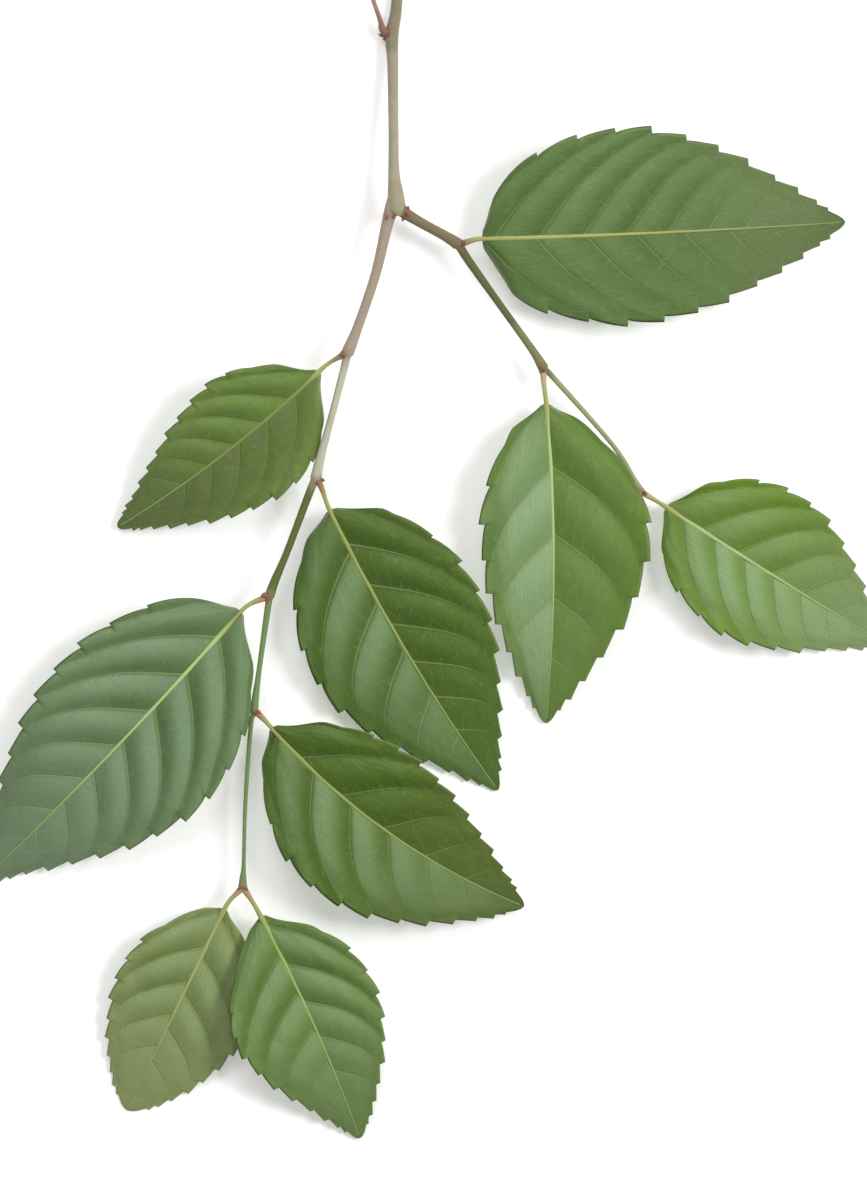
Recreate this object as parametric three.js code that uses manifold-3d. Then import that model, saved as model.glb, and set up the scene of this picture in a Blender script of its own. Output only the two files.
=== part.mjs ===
// A leafy mulberry sprig, cut and laid on a table: a twig that forks into two zigzag shoots with toothed
// leaves.
// Millimetres, +Z up. The origin is on the table under the middle of the sprig.
// +Y runs up the twig to its cut end.
import * as THREE from "three";
import { mergeVertices } from "three/addons/utils/BufferGeometryUtils.js";
import Module from "manifold-3d";

const wasm = await Module();
wasm.setup();

// Driving dimensions of every leaf
const BLADE_THICKNESS = 0.6;
const EDGE_BLUNTNESS = 1.6; // half-width that rounds off the leaf's tip
const TIP_POWER = 1.9; // how full the outline stays between the widest place and the tip
const STALK_RADIUS = 0.6;
const STALK_FOOT_RADIUS = 0.9; // the stalk swells where it meets the shoot
const RIB_HALF_WIDTH = 0.7;
const RIB_DEPTH = 0.7; // how far the midrib stands out below the blade
const RIB_CREST = 0.15; // how far it stands out above
const TOOTH_BASE_DEPTH = 0.5;
const TOOTH_DEPTH_PER_SPACING = 0.1;
const TOOTH_TIP_PHASE = 0.86; // where along its spacing a tooth has its point
const TOOTH_LEAN = 0.12; // how far the point leans forward, as a share of the spacing
const TEETH_END = 0.955; // share of the blade's length where the teeth stop
const LAST_RING = 0.992; // share of the length where the blunt tip is closed
const TOOTH_CROWDING = 1.45; // teeth stand closer towards the tip
const VEIN_CROWDING = 0.85; // side veins stand closer towards the tip
const VEIN_SWEEP = 0.37; // how far a side vein runs forward on its way to the edge, at the widest place
const VEIN_BEND = 1.35;
const QUILT_HEIGHT = 1.1; // the blade puffs up between its side veins
const EDGE_WAVES = 1.7; // slow waves of the margin along one leaf
const JOINT_GAP = 0.3; // between a stalk's foot and its shoot, and between a shoot and the twig

// Rows of points across a half blade, as shares of the way from midrib to edge
const HALF_COLUMNS = [1, 0.7, 0.36];
const TOOTH_PHASES = [0, 0.45, TOOTH_TIP_PHASE];
const BARE_EDGE_STEPS = 3; // rings on the smooth edge before the first tooth
const STALK_STEPS = 4;
const SHOOT_SIDES = 8;
const TWIG_SIDES = 10;

const COLOURS = {
  twig: 0x8f876f,
  leftShoot: 0x8a8466,
  rightShoot: 0x6f7a48,
  stalk: 0x9c7a62,
};

// The old twig and the two shoots: places along the axis with the radius there.
const TWIG_PATH = [
  { x: -8.9, y: 144.2, z: 1.38, r: 1.36 },
  { x: -9.4, y: 137.0, z: 1.5, r: 1.4 },
  { x: -10.4, y: 131.0, z: 2.4, r: 1.65 },
  { x: -10.2, y: 124.0, z: 3.4, r: 1.38 },
  { x: -10.0, y: 108.0, z: 5.6, r: 1.25 },
  { x: -9.9, y: 97.0, z: 6.8, r: 1.4 },
  { x: -9.4, y: 90.5, z: 7.4, r: 2.1 },
  { x: -9.3, y: 87.2, z: 7.5, r: 2.35 },
];
const LEFT_SHOOT_PATH = [
  { x: -10.75, y: 86.5, z: 7.5, r: 1.7 },
  { x: -11.8, y: 82.6, z: 7.6, r: 1.45 },
  { x: -14.5, y: 71.0, z: 7.9, r: 1.25 },
  { x: -18.8, y: 58.2, z: 8.4, r: 1.25 },
  { x: -21.4, y: 51.6, z: 8.5, r: 1.6 },
  { x: -22.6, y: 46.5, z: 8.6, r: 0.98 },
  { x: -25.7, y: 34.5, z: 8.9, r: 0.9 },
  { x: -28.2, y: 25.5, z: 9.0, r: 1.1 },
  { x: -29.3, y: 20.5, z: 9.0, r: 1.4 },
  { x: -31.1, y: 16.2, z: 8.9, r: 1.0 },
  { x: -36.4, y: 2.2, z: 8.7, r: 0.88 },
  { x: -39.6, y: -5.4, z: 8.5, r: 1.1 },
  { x: -40.8, y: -8.9, z: 8.5, r: 1.25 },
  { x: -41.5, y: -13.6, z: 8.4, r: 0.8 },
  { x: -43.4, y: -27.0, z: 7.8, r: 0.66 },
  { x: -44.4, y: -34.6, z: 7.5, r: 0.9 },
  { x: -44.7, y: -37.6, z: 7.5, r: 1.0 },
  { x: -45.6, y: -42.0, z: 7.4, r: 0.58 },
  { x: -46.9, y: -60.5, z: 6.8, r: 0.52 },
  { x: -47.3, y: -75.0, z: 6.3, r: 0.5 },
  { x: -47.5, y: -79.2, z: 6.1, r: 0.85 },
  { x: -47.6, y: -81.6, z: 6.0, r: 1.15 },
];
const RIGHT_SHOOT_PATH = [
  { x: -7.0, y: 86.4, z: 7.5, r: 1.5 },
  { x: -2.7, y: 83.8, z: 7.5, r: 1.3 },
  { x: 2.6, y: 80.9, z: 7.5, r: 1.3 },
  { x: 6.2, y: 78.6, z: 7.5, r: 1.5 },
  { x: 9.3, y: 73.8, z: 7.4, r: 1.05 },
  { x: 16.7, y: 63.4, z: 7.2, r: 0.9 },
  { x: 24.6, y: 52.4, z: 7.0, r: 1.0 },
  { x: 27.4, y: 47.9, z: 6.8, r: 1.35 },
  { x: 30.4, y: 44.9, z: 6.4, r: 0.72 },
  { x: 44.7, y: 28.7, z: 5.0, r: 0.6 },
  { x: 50.2, y: 19.8, z: 4.6, r: 0.75 },
  { x: 51.9, y: 17.0, z: 4.5, r: 1.0 },
];

// A stalk on the old twig whose blade was trimmed away with the rest of the branch.
const BARE_STALK_PATH = [
  { x: -12.75, y: 132.6, z: 3.2, r: 0.95 },
  { x: -13.4, y: 135.0, z: 3.5, r: 0.6 },
  { x: -16.4, y: 143.6, z: 4.2, r: 0.55 },
];

// Buds in the leaf axils: the place on the axis, the way the bud points and its length.
const TWIG_BUDS = [
  { at: [-11.3, 131.4, 3.4], way: [-0.45, -0.55, 0.7], length: 1.5 },
  { at: [-11.2, 130.2, 2.4], way: [-1.0, -0.12, 0.25], length: 2.3 },
];
const LEFT_SHOOT_BUDS = [
  { at: [-21.8, 50.9, 8.9], way: [-0.5, -0.75, 0.7], length: 1.5 },
  { at: [-28.9, 19.6, 9.5], way: [0.1, -0.6, 0.9], length: 1.4 },
  { at: [-41.1, -9.4, 9.1], way: [-0.3, -0.7, 0.8], length: 1.4 },
  { at: [-44.4, -38.1, 8.0], way: [0.2, -0.7, 0.8], length: 1.2 },
  { at: [-47.6, -81.4, 6.6], way: [0.0, -0.8, 0.7], length: 1.3 },
];
const RIGHT_SHOOT_BUDS = [
  { at: [-7.6, 85.0, 8.4], way: [-0.1, -0.8, 0.5], length: 1.3 },
  { at: [-6.4, 87.5, 8.2], way: [0.25, 0.85, 0.4], length: 1.2 },
  { at: [6.6, 78.6, 8.2], way: [0.5, -0.35, 0.9], length: 1.4 },
  { at: [27.6, 47.3, 7.6], way: [0.35, -0.6, 0.9], length: 1.3 },
  { at: [52.1, 16.9, 5.0], way: [0.6, -0.3, 0.9], length: 1.1 },
];
const BUD_SLENDERNESS = 0.42; // half-width of a bud as a share of its length
const BUD_ROOT = 0.6; // how far a bud is sunk into its shoot, as a share of its length

// The nine leaves. Pairs are [left half, right half], seen from above and looking from the stalk to the tip.
// joint: the place on the shoot, out: the way the stalk leaves it, base and tip: the ends of the blade,
// bow: how far the midrib bulges to the left, arch: how far it bulges up,
// widths: half-widths of the blade, widest: the share of the length where it has them,
// baseFullness: small is rounder at the base, wedge: the share of the length that narrows into the stalk,
// taper: large is sharper at the tip, teethFrom: the share of the length where the teeth begin,
// veins and veinStart: how many side veins each half has and where the first of them stands,
// rise: slope of each half away from the midrib, curl: how far each margin bends down again,
// wave and wavePhase: the margin's slow waves.
const LEAVES = [
  {
    name: "leaf_top_right",
    colour: 0x5d7a45,
    joint: RIGHT_SHOOT_PATH[3],
    out: [0.95, 0.25, 0.2],
    base: [12.1, 80.0, 8.4],
    tip: [102.9, 84.5, -0.8],
    bow: -0.6,
    arch: 3.2,
    widths: [24.4, 20.6],
    widest: 0.4,
    baseFullness: [0.52, 0.48],
    wedge: [0.04, 0.085],
    taper: [1.24, 1.2],
    teeth: 11,
    teethFrom: [0.04, 0.06],
    veins: [9.4, 8.1],
    veinStart: [-0.27, -0.02],
    rise: [0.26, 0.16],
    curl: [2.6, 3.4],
    wave: 0.9,
    wavePhase: 0.1,
  },
  {
    name: "leaf_upper_left",
    colour: 0x637d44,
    joint: LEFT_SHOOT_PATH[4],
    out: [-0.98, -0.15, 0.1],
    base: [-28.4, 47.0, 9.2],
    tip: [-78.9, 8.2, 2.2],
    bow: 1.8,
    arch: 2.4,
    widths: [15.2, 14.2],
    widest: 0.36,
    baseFullness: [0.95, 1.0],
    wedge: [0.13, 0.11],
    taper: [1.36, 1.38],
    teeth: 11,
    teethFrom: [0.15, 0.19],
    veins: [7.8, 8.0],
    veinStart: [0.14, -0.1],
    rise: [0.12, 0.3],
    curl: [2.2, 1.8],
    wave: 0.7,
    wavePhase: 0.55,
  },
  {
    name: "leaf_centre",
    colour: 0x54702f,
    joint: LEFT_SHOOT_PATH[8],
    out: [0.9, -0.42, 0.1],
    base: [-25.9, 12.5, 9.4],
    tip: [16.1, -57.5, 1.0],
    bow: -1.75,
    arch: 1.0,
    widths: [21.5, 21.4],
    widest: 0.42,
    baseFullness: [0.58, 0.76],
    wedge: [0.075, 0.05],
    taper: [1.29, 1.45],
    teeth: 10,
    teethFrom: [0.1, 0.1],
    veins: [8.1, 6.5],
    veinStart: [0.2, 0.21],
    rise: [0.3, 0.14],
    curl: [3.0, 3.2],
    wave: 0.6,
    wavePhase: 0.3,
  },
  {
    name: "leaf_left",
    colour: 0x657f52,
    joint: LEFT_SHOOT_PATH[12],
    out: [-0.96, -0.25, 0.1],
    base: [-47.9, -12.8, 9.3],
    tip: [-113.6, -81.0, -0.8],
    bow: 1.05,
    arch: 3.0,
    widths: [23.6, 22.8],
    widest: 0.42,
    baseFullness: [0.86, 0.6],
    wedge: [0.095, 0.055],
    taper: [1.51, 1.24],
    teeth: 12,
    teethFrom: [0.14, 0.05],
    veins: [9.1, 8.6],
    veinStart: [0.31, 0.34],
    rise: [0.2, 0.2],
    curl: [2.6, 3.0],
    wave: 0.8,
    wavePhase: 0.75,
  },
  {
    name: "leaf_lower_centre",
    colour: 0x55703a,
    joint: LEFT_SHOOT_PATH[16],
    out: [0.94, -0.3, 0.15],
    base: [-40.4, -41.8, 8.6],
    tip: [22.6, -86.5, 2.6],
    bow: -4.4,
    arch: 4.4,
    widths: [17.1, 20.5],
    widest: 0.43,
    baseFullness: [0.72, 0.88],
    wedge: [0.11, 0.06],
    taper: [1.18, 1.2],
    teeth: 11,
    teethFrom: [0.16, 0.1],
    veins: [6.4, 7.1],
    veinStart: [0.28, -0.18],
    rise: [0.34, 0.22],
    curl: [1.6, 3.2],
    wave: 0.8,
    wavePhase: 0.2,
  },
  {
    name: "leaf_bottom_left",
    colour: 0x747e58,
    joint: LEFT_SHOOT_PATH[21],
    out: [-0.75, -0.65, 0.05],
    base: [-52.1, -87.0, 6.4],
    tip: [-76.6, -137.5, -0.3],
    bow: 0.0,
    arch: 1.0,
    widths: [16.7, 15.2],
    widest: 0.44,
    baseFullness: [0.95, 0.86],
    wedge: [0.08, 0.035],
    taper: [0.9, 0.95],
    teeth: 10,
    teethFrom: [0.16, 0.18],
    veins: [6.1, 6.6],
    veinStart: [-0.23, -0.07],
    rise: [0.12, 0.22],
    curl: [2.0, 2.2],
    wave: 0.5,
    wavePhase: 0.4,
  },
  {
    name: "leaf_bottom_right",
    colour: 0x647e4e,
    joint: LEFT_SHOOT_PATH[21],
    out: [0.7, -0.7, 0.15],
    base: [-43.1, -88.8, 7.2],
    tip: [-18.4, -144.5, 1.2],
    bow: 1.15,
    arch: 3.2,
    widths: [16.3, 17.8],
    widest: 0.43,
    baseFullness: [0.88, 1.0],
    wedge: [0.14, 0.03],
    taper: [1.2, 1.38],
    teeth: 10,
    teethFrom: [0.17, 0.2],
    veins: [6.7, 6.8],
    veinStart: [-0.26, -0.02],
    rise: [0.24, 0.3],
    curl: [2.2, 2.0],
    wave: 0.7,
    wavePhase: 0.9,
  },
  {
    name: "leaf_hanging",
    colour: 0x6f8f4c,
    joint: RIGHT_SHOOT_PATH[7],
    out: [-0.35, -0.93, 0.1],
    base: [28.1, 39.0, 8.2],
    tip: [28.1, -40.8, 1.6],
    bow: 1.8,
    arch: 4.0,
    widths: [22.2, 16.2],
    widest: 0.41,
    baseFullness: [0.95, 0.66],
    wedge: [0.055, 0.075],
    taper: [1.36, 1.13],
    teeth: 9,
    teethFrom: [0.13, 0.12],
    veins: [5.3, 5.3],
    veinStart: [0.11, 0.1],
    rise: [0.26, 0.2],
    curl: [2.4, 2.4],
    wave: 0.8,
    wavePhase: 0.65,
  },
  {
    name: "leaf_far_right",
    colour: 0x6f8c4e,
    joint: RIGHT_SHOOT_PATH[11],
    out: [0.86, -0.5, 0.1],
    base: [58.0, 13.2, 5.6],
    tip: [113.75, -21.4, -0.8],
    bow: -0.4,
    arch: 3.0,
    widths: [18.6, 17.4],
    widest: 0.41,
    baseFullness: [0.7, 0.66],
    wedge: [0.09, 0.08],
    taper: [1.45, 1.45],
    teeth: 10,
    teethFrom: [0.13, 0.09],
    veins: [7.0, 8.4],
    veinStart: [0.07, 0.45],
    rise: [0.22, 0.26],
    curl: [2.4, 2.4],
    wave: 0.8,
    wavePhase: 0.05,
  },
];

const SIDES = { left: 0, right: 1 };
const UP = new THREE.Vector3(0, 0, 1);

// Joins rings of equal length into one closed body. They run round clockwise as seen looking along the loft.
// From the ring's place mirrorFrom on, the faces are split the other way, so that a blade's two faces match.
function loft(rings, mirrorFrom = Infinity) {
  const count = rings[0].length;
  const points = rings.flat();
  const faces = [];
  for (let ring = 0; ring < rings.length - 1; ring++) {
    for (let place = 0; place < count; place++) {
      const a = ring * count + place;
      const b = ring * count + ((place + 1) % count);
      if (place < mirrorFrom) faces.push(a, b, b + count, a, b + count, a + count);
      else faces.push(a, b, a + count, b, b + count, a + count);
    }
  }
  const capRing = (ring, outward) => {
    const centre = points.length;
    points.push(ring.reduce((sum, p) => sum.add(p), new THREE.Vector3()).divideScalar(count));
    const first = rings.indexOf(ring) * count;
    for (let place = 0; place < count; place++) {
      const a = first + place;
      const b = first + ((place + 1) % count);
      if (outward) faces.push(centre, a, b);
      else faces.push(centre, b, a);
    }
  };
  capRing(rings[0], false);
  capRing(rings.at(-1), true);
  return new THREE.BufferGeometry().setFromPoints(points).setIndex(faces);
}

// A ring round an axis, with a flat facet underneath.
function ringAt(centre, along, radius, sides) {
  const left = new THREE.Vector3().crossVectors(UP, along).normalize();
  const up = new THREE.Vector3().crossVectors(along, left).normalize();
  return Array.from({ length: sides }, (_, place) => {
    const angle = Math.PI - ((place + 0.5) * 2 * Math.PI) / sides;
    const out = left.clone().multiplyScalar(-Math.cos(angle)).addScaledVector(up, Math.sin(angle));
    return centre.clone().addScaledVector(out, radius);
  });
}

// A tapering, swelling stem through the places of its path.
function stemGeometry(path, sides, stepsBetween) {
  const axis = new THREE.CatmullRomCurve3(path.map((p) => new THREE.Vector3(p.x, p.y, p.z)));
  const radius = new THREE.SplineCurve(path.map((p, place) => new THREE.Vector2(place, p.r)));
  const steps = (path.length - 1) * stepsBetween;
  const rings = Array.from({ length: steps + 1 }, (_, step) => {
    const t = step / steps;
    return ringAt(axis.getPoint(t), axis.getTangent(t), radius.getPoint(t).y, sides);
  });
  return loft(rings);
}

// A bud: a pointed drop that leans out of the shoot.
function budGeometry(bud) {
  const way = new THREE.Vector3(...bud.way).normalize();
  const foot = new THREE.Vector3(...bud.at).addScaledVector(way, -BUD_ROOT * bud.length * 0.5);
  const profile = [
    [0, 0.6],
    [0.3, 1],
    [0.65, 0.75],
    [1, 0.12],
  ];
  const rings = profile.map(([share, width]) =>
    ringAt(
      foot.clone().addScaledVector(way, share * bud.length),
      way,
      width * BUD_SLENDERNESS * bud.length,
      6,
    ),
  );
  return loft(rings);
}

function solidFrom(geometry) {
  const merged = mergeVertices(geometry, 1e-4);
  return new wasm.Manifold(
    new wasm.Mesh({
      numProp: 3,
      vertProperties: new Float32Array(merged.getAttribute("position").array),
      triVerts: new Uint32Array(merged.index.array),
    }),
  );
}

function geometryFrom(solid) {
  const mesh = solid.getMesh();
  return new THREE.BufferGeometry()
    .setAttribute("position", new THREE.BufferAttribute(mesh.vertProperties, 3))
    .setIndex(new THREE.BufferAttribute(mesh.triVerts, 1));
}

// A stem with its buds fused on.
function buddedStem(path, buds, sides, stepsBetween) {
  const stem = solidFrom(stemGeometry(path, sides, stepsBetween));
  return geometryFrom(buds.reduce((joined, bud) => joined.add(solidFrom(budGeometry(bud))), stem));
}

// The midrib of a leaf, from the end of the stalk to the tip.
function midribOf(leaf) {
  const base = new THREE.Vector3(...leaf.base);
  const tip = new THREE.Vector3(...leaf.tip);
  const left = new THREE.Vector3().crossVectors(UP, tip.clone().sub(base)).normalize();
  const bend = base.clone().lerp(tip, 0.5);
  bend.addScaledVector(left, 2 * leaf.bow).addScaledVector(UP, 2 * leaf.arch);
  return new THREE.QuadraticBezierCurve3(base, bend, tip);
}

// How much of its width the blade has where it starts as a short wedge on the stalk.
function baseWedge(leaf, side, t) {
  return 0.5 + 0.5 * THREE.MathUtils.smoothstep(t, 0, leaf.wedge[side]);
}

// The smooth outline as a share of its widest: the wedge, an arc to the widest place and a taper to the tip.
function outline(leaf, side, t) {
  const before = Math.max(0, 1 - t / leaf.widest);
  const after = Math.max(0, (t - leaf.widest) / (1 - leaf.widest));
  const fullness = Math.max(0, 1 - before ** 2) ** leaf.baseFullness[side];
  const taper = Math.max(0, 1 - after ** TIP_POWER) ** leaf.taper[side];
  return baseWedge(leaf, side, t) * fullness * taper;
}

// Half-width of the blade, with its tip rounded off.
function halfWidth(leaf, side, t) {
  const blunt = EDGE_BLUNTNESS * Math.sqrt(Math.max(0, 1 - t ** 40));
  return leaf.widths[side] * outline(leaf, side, t) + baseWedge(leaf, side, t) * blunt;
}

// Where the tooth with this number (and phase, from one notch to the next) stands along one edge.
function toothPlace(leaf, side, number) {
  const from = leaf.teethFrom[side];
  return from + (TEETH_END - from) * (1 - (1 - number / leaf.teeth) ** TOOTH_CROWDING);
}

// How the puffed panels between side veins lift the blade: down in a vein, up between two, less at the tip.
function quilt(leaf, side, t, share) {
  const root = t - VEIN_SWEEP * outline(leaf, side, t) * share ** VEIN_BEND;
  const panel = leaf.veins[side] * (1 - Math.max(0, 1 - root) ** VEIN_CROWDING) + leaf.veinStart[side];
  const fromMiddle = Math.abs(2 * (panel - Math.floor(panel)) - 1);
  const swell = Math.sin(Math.PI * share ** 0.75) * (1 - 0.7 * THREE.MathUtils.smoothstep(t, 0.7, 1));
  return swell * (0.62 - fromMiddle ** 1.7);
}

// Upper surface of the blade at t along the midrib and a share of the way to one edge.
// A tooth pushes the edge out by reach and forward by lean.
function bladePoint(leaf, midrib, side, t, share, reach = 0, lean = 0) {
  const sign = side === SIDES.left ? 1 : -1;
  const along = midrib.getTangent(t).setZ(0).normalize();
  const outward = new THREE.Vector3().crossVectors(UP, along).multiplyScalar(sign);
  const out = share * halfWidth(leaf, side, t) + reach;
  const wave = leaf.wave * Math.sin(2 * Math.PI * (EDGE_WAVES * t + leaf.wavePhase + 0.4 * side));
  const shape = leaf.rise[side] * out + (wave - leaf.curl[side]) * share ** 2;
  const lift = (shape + QUILT_HEIGHT * quilt(leaf, side, t, share)) * (1 - t ** 4);
  const point = midrib.getPoint(t).addScaledVector(outward, out);
  return point.addScaledVector(along, lean).addScaledVector(UP, lift);
}

// One ring round the blade: over the top from the left edge to the right, then back underneath.
function bladeRing(leaf, midrib, station) {
  const middle = 0.5 * (station.t[SIDES.left] + station.t[SIDES.right]);
  const halfRow = (side) =>
    HALF_COLUMNS.map((share) => {
      const t = THREE.MathUtils.lerp(middle, station.t[side], share);
      const [reach, lean] = share === 1 ? [station.reach[side], station.lean[side]] : [0, 0];
      return { point: bladePoint(leaf, midrib, side, t, share, reach, lean), thickness: BLADE_THICKNESS };
    });
  const ribScale = 1 - 0.75 * middle;
  const ribShare = (side) => Math.min(0.3, (RIB_HALF_WIDTH * ribScale) / halfWidth(leaf, side, middle));
  const ribEdge = (side) => ({
    point: bladePoint(leaf, midrib, side, middle, ribShare(side)),
    thickness: BLADE_THICKNESS,
  });
  const crest = midrib.getPoint(middle).addScaledVector(UP, RIB_CREST * ribScale);
  const row = [
    ...halfRow(SIDES.left),
    ribEdge(SIDES.left),
    { point: crest, thickness: BLADE_THICKNESS + RIB_DEPTH * ribScale },
    ribEdge(SIDES.right),
    ...halfRow(SIDES.right).reverse(),
  ];
  // Where the leaf would sink into the table it lies flat on it.
  const top = row.map(({ point, thickness }) => point.clone().setZ(Math.max(point.z, thickness)));
  const under = top.map((point, place) => point.clone().setZ(point.z - row[place].thickness));
  return [...top, ...under.reverse()];
}

// The stations along a blade: a bare edge near the stalk, then notch, shoulder and point of each tooth.
function bladeStations(leaf, length) {
  const both = (make) => [make(SIDES.left), make(SIDES.right)];
  const stations = [];
  for (let step = 0; step < BARE_EDGE_STEPS; step++) {
    const share = (step / BARE_EDGE_STEPS) ** 1.4;
    stations.push({ t: both((side) => share * leaf.teethFrom[side]), reach: [0, 0], lean: [0, 0] });
  }
  for (let tooth = 0; tooth < leaf.teeth; tooth++) {
    const spacing = both(
      (side) => length * (toothPlace(leaf, side, tooth + 1) - toothPlace(leaf, side, tooth)),
    );
    for (const phase of TOOTH_PHASES) {
      const grown = (phase / TOOTH_TIP_PHASE) ** 0.8 - 0.5;
      stations.push({
        t: both((side) => toothPlace(leaf, side, tooth + phase)),
        reach: both((side) => grown * (TOOTH_BASE_DEPTH + TOOTH_DEPTH_PER_SPACING * spacing[side])),
        lean: both((side) => (phase === TOOTH_TIP_PHASE ? TOOTH_LEAN * spacing[side] : 0)),
      });
    }
  }
  stations.push({ t: [TEETH_END, TEETH_END], reach: [0, 0], lean: [0, 0] });
  stations.push({ t: [LAST_RING, LAST_RING], reach: [0, 0], lean: [0, 0] });
  return stations;
}

// A whole leaf, stalk and blade, as one loft.
function leafGeometry(leaf) {
  const midrib = midribOf(leaf);
  const columns = 2 * HALF_COLUMNS.length + 3;
  const out = new THREE.Vector3(...leaf.out).normalize();
  const foot = out.clone().multiplyScalar(leaf.joint.r + JOINT_GAP).add(leaf.joint);
  const base = midrib.getPoint(0);
  const reach = 0.4 * foot.distanceTo(base);
  const stalk = new THREE.CubicBezierCurve3(
    foot,
    foot.clone().addScaledVector(out, reach),
    base.clone().addScaledVector(midrib.getTangent(0), -reach),
    base,
  );
  const rings = [];
  for (let step = 0; step < STALK_STEPS; step++) {
    const t = step / STALK_STEPS;
    const radius = THREE.MathUtils.lerp(STALK_FOOT_RADIUS, STALK_RADIUS, Math.min(1, 2 * t));
    rings.push(ringAt(stalk.getPoint(t), stalk.getTangent(t), radius, 2 * columns));
  }
  for (const station of bladeStations(leaf, midrib.getLength())) rings.push(bladeRing(leaf, midrib, station));
  return loft(rings, columns);
}

function piece(name, geometry, colour, roughness) {
  const mesh = new THREE.Mesh(
    geometry,
    new THREE.MeshStandardMaterial({ color: colour, roughness, metalness: 0 }),
  );
  mesh.name = name;
  return mesh;
}

const sprig = new THREE.Group();
sprig.name = "mulberry_sprig";
const twig = buddedStem(TWIG_PATH, TWIG_BUDS, TWIG_SIDES, 2);
const leftShoot = buddedStem(LEFT_SHOOT_PATH, LEFT_SHOOT_BUDS, SHOOT_SIDES, 1);
const rightShoot = buddedStem(RIGHT_SHOOT_PATH, RIGHT_SHOOT_BUDS, SHOOT_SIDES, 2);
sprig.add(piece("twig", twig, COLOURS.twig, 0.75));
sprig.add(piece("left_shoot", leftShoot, COLOURS.leftShoot, 0.6));
sprig.add(piece("right_shoot", rightShoot, COLOURS.rightShoot, 0.6));
sprig.add(piece("bare_stalk", stemGeometry(BARE_STALK_PATH, SHOOT_SIDES, 2), COLOURS.stalk, 0.6));
for (const leaf of LEAVES) sprig.add(piece(leaf.name, leafGeometry(leaf), leaf.colour, 0.45));

export default sprig;
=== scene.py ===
# %% [markdown]
# # A leafy mulberry sprig
#
# The sprig lies on a white table and is seen from straight above: an old twig, two thin zigzag shoots
# and nine broad, toothed leaves. This lesson grows each leaf and each stem from a rule in Geometry Nodes,
# and then paints them with node materials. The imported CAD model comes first, because every piece here
# has to sit exactly where its solid sits.

# %% Load the frame
import math

import bpy
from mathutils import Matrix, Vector


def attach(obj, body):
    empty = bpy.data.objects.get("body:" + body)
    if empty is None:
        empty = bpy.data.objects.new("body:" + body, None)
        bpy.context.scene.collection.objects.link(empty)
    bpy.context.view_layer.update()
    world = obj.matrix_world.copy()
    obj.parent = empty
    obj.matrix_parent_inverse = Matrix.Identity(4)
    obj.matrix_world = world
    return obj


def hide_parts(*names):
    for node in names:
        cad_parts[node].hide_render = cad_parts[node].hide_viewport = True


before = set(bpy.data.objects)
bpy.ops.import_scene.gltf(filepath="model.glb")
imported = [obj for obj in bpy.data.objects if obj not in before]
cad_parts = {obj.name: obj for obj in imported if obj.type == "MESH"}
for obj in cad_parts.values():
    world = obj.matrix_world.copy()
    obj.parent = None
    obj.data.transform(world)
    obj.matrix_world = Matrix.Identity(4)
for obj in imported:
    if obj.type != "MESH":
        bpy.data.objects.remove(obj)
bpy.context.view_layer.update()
MM = 0.001
print("CAD nodes:", ", ".join(sorted(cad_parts)))

# %% [markdown]
# ## Camera, light and table
#
# The photograph looks straight down, so the camera hangs high above with a long lens: that keeps the
# outlines free of perspective. A soft light at the top gives the leaves their grey sheen, and one on the
# right gives the faint shadows on their left. The white room fills in the rest. Only the sheen light
# shows as gloss, as if the others shone through a polarising filter: a leaf mirrors what is above it, and
# a bright ceiling would wash out the greens. The table glows a little, like a light table, so that it
# stays white.

# %% Camera, light and table
VIEW_CENTRE = (0.0, -10.0 * MM)
VIEW_HEIGHT = 2.5
FRAME_HEIGHT = 300.0 * MM
SENSOR_HEIGHT = 36.0
ROOM_LIGHT = 0.5
TABLE_REACH = 3.0
TABLE_WHITE = 0.93
TABLE_GLOW = 0.22

scene = bpy.context.scene
scene.view_settings.view_transform = "Standard"

camera_data = bpy.data.cameras.new("camera")
camera_data.sensor_fit = "VERTICAL"
camera_data.sensor_height = SENSOR_HEIGHT
camera_data.lens = SENSOR_HEIGHT * VIEW_HEIGHT / FRAME_HEIGHT
camera = bpy.data.objects.new("camera", camera_data)
camera.location = (*VIEW_CENTRE, VIEW_HEIGHT)
scene.collection.objects.link(camera)
scene.camera = camera


def add_soft_light(name, place, size, watts, gloss):
    """A square area light that looks at the middle of the sprig, with or without gloss."""
    data = bpy.data.lights.new(name, "AREA")
    data.size = size
    data.energy = watts
    light = bpy.data.objects.new(name, data)
    light.location = place
    light.visible_glossy = gloss
    light.rotation_euler = (Vector((0, 0, 0)) - Vector(place)).to_track_quat("-Z", "Y").to_euler()
    scene.collection.objects.link(light)


add_soft_light("window_light", place=(0.9, 0.2, 1.0), size=0.5, watts=11.0, gloss=False)
# The leaves' grey sheen is partly gloss from this light and partly painted sheen in the leaf paint.
add_soft_light("sheen_light", place=(-0.25, 0.9, 1.1), size=0.67, watts=6.4, gloss=True)

world = bpy.data.worlds.new("white_room")
scene.world = world
world.use_nodes = True
sky = world.node_tree.nodes["Background"].inputs
sky["Color"].default_value = (1.0, 1.0, 1.0, 1.0)
sky["Strength"].default_value = ROOM_LIGHT
world.cycles_visibility.glossy = False

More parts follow.
